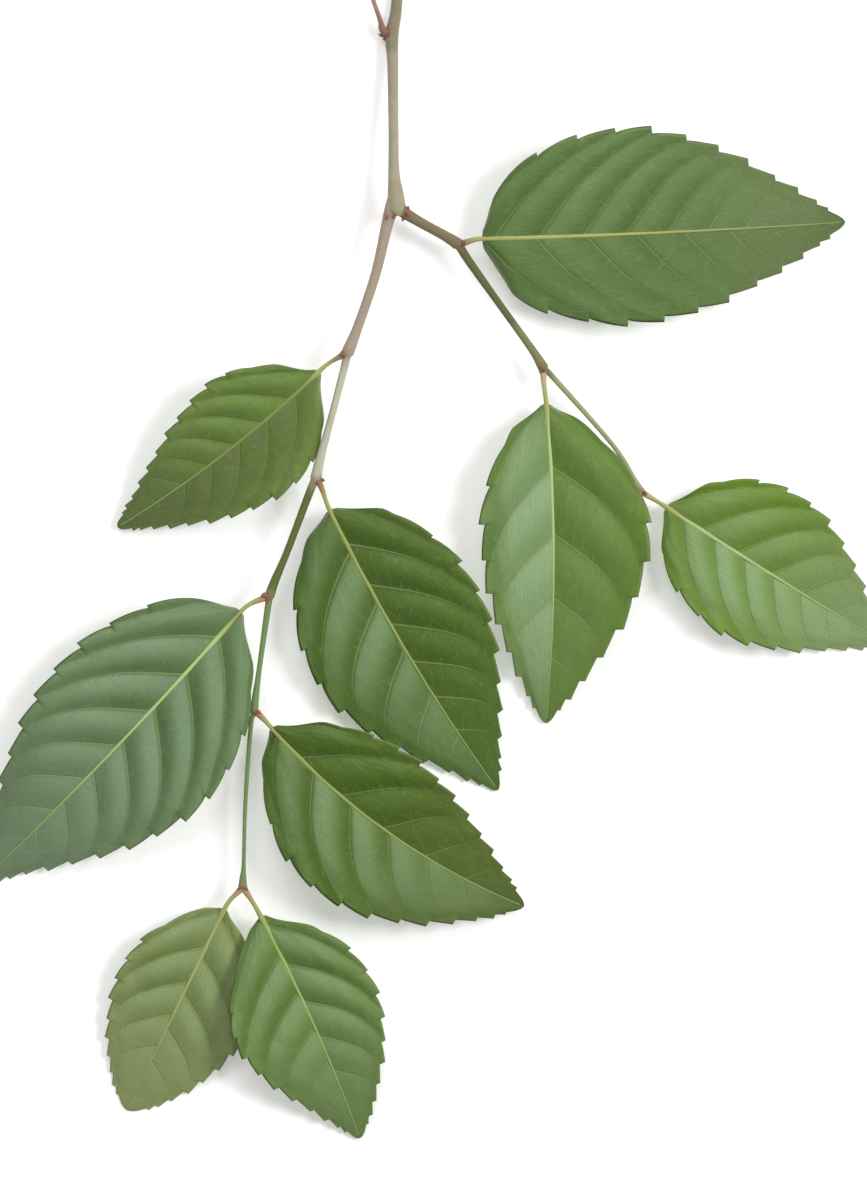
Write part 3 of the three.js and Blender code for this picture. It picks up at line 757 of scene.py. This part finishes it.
# Buds and the small scales beside them: place, the way they point, length, and girth as a share of a
# bud's.
TWIG_BUDS = [
    ((-11.3, 131.4, 3.4), (-0.45, -0.55, 0.7), 1.5, 1.0),
    ((-11.2, 130.2, 2.4), (-1.0, -0.12, 0.25), 2.3, 0.8),
    ((-12.4, 131.0, 2.7), (-1.0, 0.15, 0.2), 2.2, 0.6),
    ((-12.2, 132.2, 3.3), (-0.5, 0.7, 0.5), 1.5, 0.9),
]
LEFT_SHOOT_BUDS = [
    ((-11.6, 85.4, 8.9), (-0.2, -0.6, 0.7), 1.2, 0.9),
    ((-9.9, 85.6, 9.0), (0.3, -0.6, 0.7), 1.1, 0.9),
    ((-21.8, 50.9, 8.9), (-0.5, -0.75, 0.7), 1.5, 1.0),
    ((-22.4, 51.5, 9.2), (-0.85, -0.3, 0.5), 2.0, 0.9),
    ((-28.9, 19.6, 9.5), (0.1, -0.6, 0.9), 1.4, 1.0),
    ((-27.9, 20.0, 9.3), (0.8, -0.35, 0.4), 1.6, 0.7),
    ((-29.6, 19.4, 9.6), (-0.4, -0.7, 0.5), 1.3, 0.6),
    ((-41.1, -9.4, 9.1), (-0.3, -0.7, 0.8), 1.4, 1.0),
    ((-41.9, -8.8, 9.2), (-0.9, -0.2, 0.5), 2.0, 0.9),
    ((-41.4, -10.0, 9.2), (-0.6, -0.7, 0.5), 1.4, 0.7),
    ((-44.4, -38.1, 8.0), (0.2, -0.7, 0.8), 1.2, 1.0),
    ((-43.9, -37.9, 8.1), (0.9, -0.3, 0.5), 1.7, 0.9),
    ((-47.6, -81.4, 6.6), (0.0, -0.8, 0.7), 1.3, 1.0),
    ((-48.2, -81.8, 6.6), (-0.8, -0.6, 0.4), 1.4, 0.8),
    ((-46.9, -81.8, 6.7), (0.7, -0.7, 0.4), 1.5, 0.8),
]
RIGHT_SHOOT_BUDS = [
    ((-7.6, 85.0, 8.4), (-0.1, -0.8, 0.5), 1.3, 0.7),
    ((-6.4, 87.5, 8.2), (0.25, 0.85, 0.4), 1.2, 0.8),
    ((-6.6, 86.2, 8.9), (0.6, -0.2, 0.6), 1.5, 0.9),
    ((6.6, 78.6, 8.2), (0.5, -0.35, 0.9), 1.4, 1.0),
    ((7.1, 78.9, 8.2), (0.85, 0.3, 0.5), 1.7, 0.9),
    ((7.0, 78.0, 8.1), (0.8, -0.4, 0.4), 1.5, 0.8),
    ((27.6, 47.3, 7.6), (0.35, -0.6, 0.9), 1.3, 1.0),
    ((26.9, 47.4, 7.7), (-0.4, -0.8, 0.5), 1.7, 0.9),
    ((52.1, 16.9, 5.0), (0.6, -0.3, 0.9), 1.1, 1.0),
    ((52.5, 16.7, 5.1), (0.8, -0.5, 0.4), 1.6, 0.9),
]

# %% [markdown]
# One tree makes every stem. It reads the path as a curve, rounds it, sweeps a ring along it, roughens the
# bark a little, scatters the pale breathing pores that young bark has, and sets a bud at each joint. The
# distance to the nearest joint is stored, because the bark there is red-brown.

# %% The stem tree
STEM_STEP = 0.45
STEM_CORNERS = 28
BUD_POINTS = 18
BUD_STOUTNESS = 0.46
STEM_INPUTS = {
    "Path": "NodeSocketObject",
    "Joints": "NodeSocketObject",
    **dict.fromkeys(("Pore density", "Pore size", "Bark roughness"), FLOAT),
    "Seed": "NodeSocketInt",
    "Material": "NodeSocketMaterial",
}
stem_tree, stem_in = new_geometry_tree("mulberry_stem", STEM_INPUTS)
path_info = add(stem_tree, "GeometryNodeObjectInfo", {"Object": stem_in["Path"]})
rounded = add(
    stem_tree,
    "GeometryNodeCurveSplineType",
    {"Curve": path_info.outputs["Geometry"]},
    spline_type="CATMULL_ROM",
)
fine = add(
    stem_tree,
    "GeometryNodeResampleCurve",
    {"Curve": rounded.outputs[0], "Length": STEM_STEP * MM},
    mode="LENGTH",
)
factor = Field(stem_tree, stem_tree.nodes.new("GeometryNodeSplineParameter").outputs["Factor"])
stem_curve = store(stem_tree, fine.outputs[0], {"along": factor})
stem_tube = tube(stem_tree, stem_curve, STEM_CORNERS)
stem_place = stem_tree.nodes.new("GeometryNodeInputPosition").outputs[0]
stem_normal = stem_tree.nodes.new("GeometryNodeInputNormal").outputs[0]
joint_info = add(stem_tree, "GeometryNodeObjectInfo", {"Object": stem_in["Joints"]})
near = add(
    stem_tree,
    "GeometryNodeProximity",
    {"Geometry": joint_info.outputs["Geometry"]},
    target_element="POINTS",
)
rough = noise(stem_tree, stem_place, 700.0, 3.0) * Field(stem_tree, stem_in["Bark roughness"]) * MM
push = add(stem_tree, "ShaderNodeVectorMath", {0: stem_normal, "Scale": rough}, operation="SCALE")
barked = add(stem_tree, "GeometryNodeSetPosition", {"Geometry": stem_tube, "Offset": push.outputs[0]})
bark = store(stem_tree, barked.outputs[0], {"joint": near.outputs["Distance"], "bud": 0.0, "pore": 0.0})

# Pores: small flat lentils on the bark.
scatter = add(
    stem_tree,
    "GeometryNodeDistributePointsOnFaces",
    {"Mesh": bark, "Density": stem_in["Pore density"], "Seed": stem_in["Seed"]},
)
lentil = add(stem_tree, "GeometryNodeMeshIcoSphere", {"Radius": 1.0, "Subdivisions": 2})
lentil = store(stem_tree, lentil.outputs[0], {"pore": 1.0, "joint": 1.0})
pore_size = Field(stem_tree, stem_in["Pore size"]) * MM
pores = add(
    stem_tree,
    "GeometryNodeInstanceOnPoints",
    {
        "Points": scatter.outputs["Points"],
        "Instance": lentil,
        "Rotation": scatter.outputs["Rotation"],
        "Scale": pack(stem_tree, [pore_size, pore_size * 1.5, pore_size * 0.35]),
    },
)

# Buds: a drop swept along a short line, turned the way that its joint says.
drop_line = add(stem_tree, "GeometryNodeCurvePrimitiveLine", {"End": (0.0, 0.0, 1.0)})
drop_line = drop_line.outputs[0]
drop_points = add(stem_tree, "GeometryNodeResampleCurve", {"Curve": drop_line, "Count": BUD_POINTS})
drop_points = drop_points.outputs[0]
drop_width = wave(factor**0.8 * 0.5) ** 0.75 * (1 - factor * 0.25) * BUD_STOUTNESS
drop_curve = add(stem_tree, "GeometryNodeSetCurveRadius", {"Curve": drop_points, "Radius": drop_width})
drop_curve = store(stem_tree, drop_curve.outputs[0], {"bud": 1.0, "along": factor})
drop = tube(stem_tree, drop_curve, ROD_CORNERS)
bud_way, bud_length, bud_girth = (
    add(stem_tree, "GeometryNodeInputNamedAttribute", {"Name": label}, data_type=kind).outputs[0]
    for label, kind in (("way", "FLOAT_VECTOR"), ("length", "FLOAT"), ("girth", "FLOAT"))
)
turn = add(stem_tree, "FunctionNodeAlignRotationToVector", {"Vector": bud_way}, axis="Z")
tall = Field(stem_tree, bud_length)
stout = tall * Field(stem_tree, bud_girth)
size = pack(stem_tree, [stout, stout, tall])
buds = add(
    stem_tree,
    "GeometryNodeInstanceOnPoints",
    {
        "Points": joint_info.outputs["Geometry"],
        "Instance": drop,
        "Rotation": turn.outputs[0],
        "Scale": size,
    },
)
stem_parts = stem_tree.nodes.new("GeometryNodeJoinGeometry")
for made in (buds.outputs[0], pores.outputs[0], bark):
    stem_tree.links.new(made, stem_parts.inputs[0])
stem_smooth = add(stem_tree, "GeometryNodeSetShadeSmooth", {"Geometry": stem_parts.outputs[0]})
end_tree(stem_tree, stem_smooth.outputs[0], stem_in["Material"])
print("stem tree:", len(stem_tree.nodes), "nodes")

# %% [markdown]
# ## Bark
#
# The old twig is grey-brown with fine lengthwise lines; the shoots turn from tan to green towards their
# tips, in steps at the joints, and all of them redden there. So one bark group changes through four
# colours along the stem and adds the streaks, the red of the joints, the pores and the buds.

# %% The bark paint group
bark_paint, bark_in, bark_out = new_shader_group(
    "bark_paint",
    {
        "Old colour": (COLOUR, paint(140, 132, 108)),
        "Upper colour": (COLOUR, paint(162, 153, 130)),
        "Lower colour": (COLOUR, paint(168, 160, 138)),
        "Young colour": (COLOUR, paint(162, 155, 128)),
        "Upper at": (FLOAT, 0.3),
        "Lower at": (FLOAT, 0.5),
        "Young at": (FLOAT, 0.85),
        "Streak colour": (COLOUR, paint(112, 100, 80)),
        "Streaks": (FLOAT, 0.5),
        "Joint colour": (COLOUR, paint(140, 96, 78)),
        "Joint reach": (FLOAT, 0.002),
        "Bud colour": (COLOUR, paint(132, 80, 66)),
        "Pore colour": (COLOUR, paint(184, 174, 152)),
    },
    {"Color": COLOUR, "Roughness": FLOAT, "Height": FLOAT},
)
stem_along = attribute(bark_paint, "along")
bark_spot = bark_paint.nodes.new("ShaderNodeTexCoord").outputs["Object"]
stretch = add(bark_paint, "ShaderNodeMapping", {"Scale": (1.0, 0.08, 1.0), "Vector": bark_spot})
streak = noise(bark_paint, stretch.outputs[0], 2600.0, 3.0)
blotch = noise(bark_paint, bark_spot, 260.0, 3.0)
bark_colour = bark_in["Old colour"]
for label in ("Upper", "Lower", "Young"):
    change = Field(bark_paint, bark_in[label + " at"])
    turned = ease(stem_along + blotch * 0.02, change - 0.02, change + 0.02)
    bark_colour = tint(bark_paint, bark_colour, bark_in[label + " colour"], turned)
streaked = between((streak * 0.9 + blotch * 0.8) * Field(bark_paint, bark_in["Streaks"]) + 0.1, 0, 1)
bark_colour = tint(bark_paint, bark_colour, bark_in["Streak colour"], streaked)
reach = Field(bark_paint, bark_in["Joint reach"])
at_joint = 1 - ease(attribute(bark_paint, "joint") + blotch * 0.002, reach * 0.3, reach)
bark_colour = tint(bark_paint, bark_colour, bark_in["Joint colour"], at_joint * 0.55)
bark_colour = tint(bark_paint, bark_colour, bark_in["Pore colour"], attribute(bark_paint, "pore") * 0.5)
bud_here = attribute(bark_paint, "bud")
bark_colour = tint(bark_paint, bark_colour, bark_in["Bud colour"], bud_here * (0.75 + blotch))
bark_paint.links.new(bark_colour, bark_out.inputs["Color"])
bark_paint.links.new((0.62 + blotch * 0.2).socket, bark_out.inputs["Roughness"])
bark_height = streak * 0.6 + blotch * 0.5 + wave(stem_along * 4) * bud_here
bark_paint.links.new(bark_height.socket, bark_out.inputs["Height"])
print("bark paint:", len(bark_paint.nodes), "nodes")


# %% [markdown]
# The tree reads a path and a set of joints as objects, so both are made as small helpers, used and removed.


# %% Growing a stem
STEP_LENGTH = 1.1  # millimetres
STEP_DEPTH = 0.85  # of the way to the next radius
BUD_SUNK = 0.3  # of the bud's length


def path_object(name, path):
    curve = bpy.data.curves.new(name, "CURVE")
    curve.dimensions = "3D"
    spline = curve.splines.new("POLY")
    spline.points.add(len(path) - 1)
    for point, (x, y, z, radius) in zip(spline.points, path):
        point.co = (x * MM, y * MM, z * MM, 1.0)
        point.radius = radius * MM
    helper = bpy.data.objects.new(name, curve)
    scene.collection.objects.link(helper)
    return helper


def stepped(path, joints):
    """The path with a sudden step to the thinner shoot right after each joint."""
    steps = []
    for place, here in enumerate(path):
        steps.append(here)
        if place in joints:
            there = path[place + 1]
            share = STEP_LENGTH / (Vector(there[:3]) - Vector(here[:3])).length
            spot = Vector(here[:3]).lerp(Vector(there[:3]), share)
            steps.append((*spot, here[3] + (there[3] - here[3]) * STEP_DEPTH))
    return steps


def joints_object(name, buds):
    """The buds as points that know which way they lean, how long they are and how stout."""
    mesh = bpy.data.meshes.new(name)
    ways = [Vector(way).normalized() for _, way, _, _ in buds]
    feet = [Vector(at) - way * length * BUD_SUNK for (at, _, length, _), way in zip(buds, ways)]
    mesh.from_pydata([foot * MM for foot in feet], [], [])
    for label, kind, key, values in (
        ("way", "FLOAT_VECTOR", "vector", [v for way in ways for v in way]),
        ("length", "FLOAT", "value", [length * MM for _, _, length, _ in buds]),
        ("girth", "FLOAT", "value", [girth for _, _, _, girth in buds]),
    ):
        mesh.attributes.new(label, kind, "POINT").data.foreach_set(key, values)
    helper = bpy.data.objects.new(name, mesh)
    scene.collection.objects.link(helper)
    return helper


def grow_stem(node, path, buds, material, surface, seed):
    """One stem as one piece: bark, pores and buds."""
    helpers = path_object(node + "_path", path), joints_object(node + "_joints", buds)
    stem = grow(
        node + "_bark",
        stem_tree,
        {
            "Path": helpers[0],
            "Joints": helpers[1],
            "Seed": seed,
            "Material": material,
            **surface,
        },
    )
    for helper in helpers:
        bpy.data.objects.remove(helper)
    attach(stem, "root")
    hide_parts(node)
    print(node, len(stem.data.polygons), "faces")


def new_bark(name, relief_height, colours, numbers):
    """A bark material: its colours as they look on a screen, and its other numbers."""
    values = {label + " colour": paint(*colour) for label, colour in colours.items()}
    return new_material(name, bark_paint, values | numbers, relief_height)


twig_bark = new_bark("twig_bark", 0.06, {"Bud": (104, 78, 64)}, {})
left_bark = new_bark(
    "left_shoot_bark",
    0.05,
    {
        "Old": (170, 153, 136),
        "Upper": (190, 190, 168),
        "Lower": (96, 110, 52),
        "Young": (118, 146, 92),
        "Streak": (110, 104, 76),
        "Joint": (152, 114, 96),
        "Bud": (156, 98, 82),
    },
    {"Upper at": 0.24, "Lower at": 0.415, "Young at": 0.585, "Streaks": 0.35},
)
right_bark = new_bark(
    "right_shoot_bark",
    0.05,
    {
        "Old": (128, 118, 90),
        "Upper": (104, 106, 66),
        "Lower": (126, 132, 86),
        "Young": (156, 166, 118),
        "Streak": (92, 88, 58),
    },
    {"Upper at": 0.2, "Lower at": 0.45, "Young at": 0.62, "Streaks": 0.35},
)
stalk_bark = new_bark(
    "bare_stalk_skin",
    0.03,
    {
        "Old": (146, 108, 92),
        "Upper": (158, 118, 104),
        "Lower": (166, 132, 118),
        "Young": (172, 144, 130),
        "Streak": (120, 84, 70),
    },
    {"Streaks": 0.3},
)
twig_path = TWIG_PATH + TWIG_END
left_path = LEFT_SHOOT_START + stepped(LEFT_SHOOT_PATH, LEFT_SHOOT_JOINTS)
right_path = RIGHT_SHOOT_START + stepped(RIGHT_SHOOT_PATH, RIGHT_SHOOT_JOINTS)
stalk_path = BARE_STALK_START + BARE_STALK_PATH
OLD_BARK = {"Pore density": 60000.0, "Pore size": 0.13, "Bark roughness": 0.12}
SHOOT_BARK = {"Pore density": 30000.0, "Pore size": 0.1, "Bark roughness": 0.08}
SMOOTH_SKIN = {"Pore density": 0.0, "Pore size": 0.1, "Bark roughness": 0.05}
grow_stem("twig", twig_path, TWIG_BUDS, twig_bark, OLD_BARK, seed=3)
grow_stem("left_shoot", left_path, LEFT_SHOOT_BUDS, left_bark, SHOOT_BARK, seed=5)
grow_stem("right_shoot", right_path, RIGHT_SHOOT_BUDS, right_bark, SHOOT_BARK, seed=8)
grow_stem("bare_stalk", stalk_path, TWIG_BUDS[3:], stalk_bark, SMOOTH_SKIN, seed=2)

# %% [markdown]
# ## The nine leaves
#
# Each leaf is a row of numbers for the tree. Pairs are the left and right half, seen from above and
# looking from the stalk to the tip. Every leaf has its own greens, which are the deep, the light and the
# tip's: the lower leaves are greyer, the right ones yellower.

# %% The leaves' numbers
# The pair after vein_strength is the strength of the painted sheen on the left and right half.
LEAVES = {
    "leaf_top_right": dict(
        joint=RIGHT_SHOOT_PATH[3], out=(0.95, 0.25, 0.2),
        base=(12.1, 80.0, 8.4), tip=(102.9, 84.5, -0.8), bow=-0.6, arch=3.2,
        width=(24.4, 20.6), widest=0.4, fullness=(0.52, 0.48), taper=(1.24, 1.2),
        teeth=11, teeth_from=(0.04, 0.06), veins=(9.4, 8.1), vein_start=(-0.27, -0.02), wedge=(0.04, 0.085),
        rise=(0.26, 0.16), curl=(2.6, 3.4), quilt=0.7, wave=0.9, phase=0.1,
        greens=((78, 106, 50), (99, 125, 69), (110, 122, 82)), tip_strength=0.6,
        vein_strength=0.3, painted_sheen=(0.12, 0.0),
        rib_colour=(172, 176, 104), foot_colour=(150, 132, 88),
    ),
    "leaf_upper_left": dict(
        joint=LEFT_SHOOT_PATH[4], out=(-0.98, -0.15, 0.1),
        base=(-28.4, 47.0, 9.2), tip=(-78.9, 8.2, 2.2), bow=1.8, arch=2.4,
        width=(15.2, 14.2), widest=0.36, fullness=(0.95, 1.0), taper=(1.36, 1.38),
        teeth=11, teeth_from=(0.15, 0.19), veins=(7.8, 8.0), vein_start=(0.14, -0.1), wedge=(0.13, 0.11),
        rise=(0.12, 0.3), curl=(2.2, 1.8), quilt=1.0, wave=0.7, phase=0.55,
        greens=((92, 117, 50), (113, 140, 66), (98, 111, 70)), tip_strength=0.7,
        # Here the painted sheen is a dark olive-brown, so on the left half its bands darken the green.
        vein_strength=0.15, painted_sheen=(0.45, 0.0), painted_sheen_colour=(86, 88, 58),
        rib_colour=(132, 146, 84), foot_colour=(138, 116, 84),
    ),
    "leaf_centre": dict(
        joint=LEFT_SHOOT_PATH[8], out=(0.9, -0.42, 0.1),
        base=(-25.9, 12.5, 9.4), tip=(16.1, -57.5, 1.0), bow=-1.75, arch=1.0,
        width=(21.5, 21.4), widest=0.42, fullness=(0.58, 0.76), taper=(1.29, 1.45),
        teeth=10, teeth_from=(0.1, 0.1), veins=(8.1, 6.5), vein_start=(0.2, 0.21), wedge=(0.075, 0.05),
        rise=(0.3, 0.14), curl=(3.0, 3.2), quilt=1.2, wave=0.6, phase=0.3,
        greens=((68, 96, 30), (88, 115, 44), (86, 109, 54)), tip_strength=0.4,
        vein_strength=0.45, painted_sheen=(0.0, 0.36),
        rib_colour=(158, 168, 94), foot_colour=(158, 126, 86),
    ),
    "leaf_left": dict(
        joint=LEFT_SHOOT_PATH[12], out=(-0.96, -0.25, 0.1),
        base=(-47.9, -12.8, 9.3), tip=(-113.6, -81.0, -0.8), bow=1.05, arch=3.0,
        width=(23.6, 22.8), widest=0.42, fullness=(0.86, 0.6), taper=(1.51, 1.24),
        teeth=12, teeth_from=(0.14, 0.05), veins=(9.1, 8.6), vein_start=(0.31, 0.34), wedge=(0.095, 0.055),
        rise=(0.2, 0.2), curl=(2.6, 3.0), quilt=1.4, wave=0.8, phase=0.75,
        greens=((86, 113, 68), (112, 138, 92), (117, 134, 108)), tip_strength=0.6,
        vein_strength=0.5, painted_sheen=(0.28, 0.22), painted_sheen_colour=(150, 176, 148),
        rib_colour=(186, 204, 132), foot_colour=(174, 148, 102),
    ),
    "leaf_lower_centre": dict(
        joint=LEFT_SHOOT_PATH[16], out=(0.94, -0.3, 0.15),
        base=(-40.4, -41.8, 8.6), tip=(22.6, -86.5, 2.6), bow=-4.4, arch=4.4,
        width=(17.1, 20.5), widest=0.43, fullness=(0.72, 0.88), taper=(1.18, 1.2),
        teeth=11, teeth_from=(0.16, 0.1), veins=(6.4, 7.1), vein_start=(0.28, -0.18), wedge=(0.11, 0.06),
        rise=(0.34, 0.22), curl=(1.6, 3.2), quilt=1.2, wave=0.8, phase=0.2,
        greens=((70, 98, 26), (90, 118, 42), (92, 102, 54)), tip_strength=0.6,
        vein_strength=0.3, painted_sheen=(0.0, 0.36),
        rib_colour=(156, 166, 92), foot_colour=(180, 134, 108),
    ),
    "leaf_bottom_left": dict(
        joint=LEFT_SHOOT_PATH[21], out=(-0.75, -0.65, 0.05),
        base=(-52.1, -87.0, 6.4), tip=(-76.6, -137.5, -0.3), bow=0.0, arch=1.0,
        width=(16.7, 15.2), widest=0.44, fullness=(0.95, 0.86), taper=(0.9, 0.95),
        teeth=10, teeth_from=(0.16, 0.18), veins=(6.1, 6.6), vein_start=(-0.23, -0.07), wedge=(0.08, 0.035),
        rise=(0.12, 0.22), curl=(2.0, 2.2), quilt=1.1, wave=0.5, phase=0.4,
        greens=((114, 133, 74), (141, 155, 98), (142, 149, 98)), tip_strength=0.5,
        vein_strength=0.3, painted_sheen=(0.2, 0.2),
        rib_colour=(168, 178, 112), foot_colour=(176, 146, 112),
    ),
    "leaf_bottom_right": dict(
        joint=LEFT_SHOOT_PATH[21], out=(0.7, -0.7, 0.15),
        base=(-43.1, -88.8, 7.2), tip=(-18.4, -144.5, 1.2), bow=1.15, arch=3.2,
        width=(16.3, 17.8), widest=0.43, fullness=(0.88, 1.0), taper=(1.2, 1.38),
        teeth=10, teeth_from=(0.17, 0.2), veins=(6.7, 6.8), vein_start=(-0.26, -0.02), wedge=(0.14, 0.03),
        rise=(0.24, 0.3), curl=(2.2, 2.0), quilt=1.2, wave=0.7, phase=0.9,
        greens=((86, 116, 48), (112, 139, 76), (106, 124, 70)), tip_strength=0.5,
        vein_strength=0.3, painted_sheen=(0.25, 0.28),
        rib_colour=(164, 182, 98), foot_colour=(176, 148, 112),
    ),
    "leaf_hanging": dict(
        joint=RIGHT_SHOOT_PATH[7], out=(-0.35, -0.93, 0.1),
        base=(28.1, 39.0, 8.2), tip=(28.1, -40.8, 1.6), bow=1.8, arch=4.0,
        width=(22.2, 16.2), widest=0.41, fullness=(0.95, 0.66), taper=(1.36, 1.13),
        teeth=9, teeth_from=(0.13, 0.12), veins=(5.3, 5.3), vein_start=(0.11, 0.1), wedge=(0.055, 0.075),
        rise=(0.26, 0.2), curl=(2.4, 2.4), quilt=1.2, wave=0.8, phase=0.65,
        greens=((80, 112, 30), (102, 131, 50), (108, 131, 68)), tip_strength=0.5,
        vein_strength=0.35, painted_sheen=(0.12, 0.85),
        rib_colour=(178, 198, 132), foot_colour=(190, 166, 134), sheen_evenness=0.85,
    ),
    "leaf_far_right": dict(
        joint=RIGHT_SHOOT_PATH[11], out=(0.86, -0.5, 0.1),
        base=(58.0, 13.2, 5.6), tip=(113.75, -21.4, -0.8), bow=-0.4, arch=3.0,
        width=(18.6, 17.4), widest=0.41, fullness=(0.7, 0.66), taper=(1.45, 1.45),
        teeth=10, teeth_from=(0.13, 0.09), veins=(7.0, 8.4), vein_start=(0.07, 0.45), wedge=(0.09, 0.08),
        rise=(0.22, 0.26), curl=(2.4, 2.4), quilt=1.0, wave=0.8, phase=0.05,
        greens=((86, 121, 4), (108, 138, 36), (134, 150, 108)), tip_strength=0.8,
        vein_strength=0.2, painted_sheen=(0.3, 0.6),
        rib_colour=(178, 192, 134), foot_colour=(194, 164, 130), sheen_evenness=0.5,
    ),
}


# %% Growing the leaves
OUTWARD_PULL = 0.35
FOOT_DEPTH = 0.3  # of the joint's radius, from the shoot's middle line
STALK_HANDLE = 0.4  # of the stalk's length
LEAF_RELIEF = 0.22
LEAF_COAT = 0.05
USUAL_PANEL = 0.75  # of the blade's length shared out among its veins


def leaf_inputs(leaf, material, seed):
    """A leaf's numbers under the names of the tree's inputs."""
    *joint, joint_radius = leaf["joint"]
    base = Vector(leaf["base"])
    towards_base = (base - Vector(joint)).normalized()
    out = (Vector(leaf["out"]).normalized() * OUTWARD_PULL + towards_base).normalized()
    foot = Vector(joint) + out * joint_radius * FOOT_DEPTH
    tip = Vector(leaf["tip"])
    left = Vector((0, 0, 1)).cross(tip - base).normalized()
    bend = (base + tip) / 2 + left * 2 * leaf["bow"] + Vector((0, 0, 2 * leaf["arch"]))
    start = (bend - base).normalized()
    reach = STALK_HANDLE * (base - foot).length
    values = {
        "Foot": foot,
        "Foot handle": foot + out * reach,
        "Base handle": base - start * reach,
        "Base": base,
        "Bend": bend,
        "Tip": tip,
        "Length": (tip - base).length,
        "Widest": leaf["widest"],
        "Teeth": leaf["teeth"],
        "Quilt": leaf["quilt"],
        "Wave": leaf["wave"],
        "Wave phase": leaf["phase"],
        "Seed": seed,
        "Material": material,
    }
    for label in HALF_NUMBERS:
        values["Left " + label], values["Right " + label] = leaf[label.replace(" ", "_")]
    return values


for number, (node, leaf) in enumerate(LEAVES.items()):
    deep, light, at_tip = leaf["greens"]
    length = (Vector(leaf["tip"]) - Vector(leaf["base"])).length
    leaf_material = new_material(
        node + "_skin",
        leaf_paint,
        {
            "Deep green": paint(*deep),
            "Light green": paint(*light),
            "Tip green": paint(*at_tip),
            "Tip strength": leaf["tip_strength"],
            "Vein strength": leaf["vein_strength"],
            # The painted sheen: its colour, how evenly it spreads and its strength on each half.
            "Sheen colour": paint(*leaf.get("painted_sheen_colour", SHEEN_GREY)),
            "Sheen evenness": leaf.get("sheen_evenness", 0.0),
            "Midrib colour": paint(*leaf["rib_colour"]),
            "Foot colour": paint(*leaf["foot_colour"]),
            "Left sheen": leaf["painted_sheen"][0],
            "Right sheen": leaf["painted_sheen"][1],
            "Panel width": USUAL_PANEL * length / leaf["veins"][0],
        },
        relief_height=LEAF_RELIEF,
        coat=LEAF_COAT,
    )
    seed = 0.37 * number + 0.11
    blade = grow(node + "_blade", leaf_tree, leaf_inputs(leaf, leaf_material, seed))
    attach(blade, "root")
    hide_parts(node)
    print(node, len(blade.data.polygons), "faces")
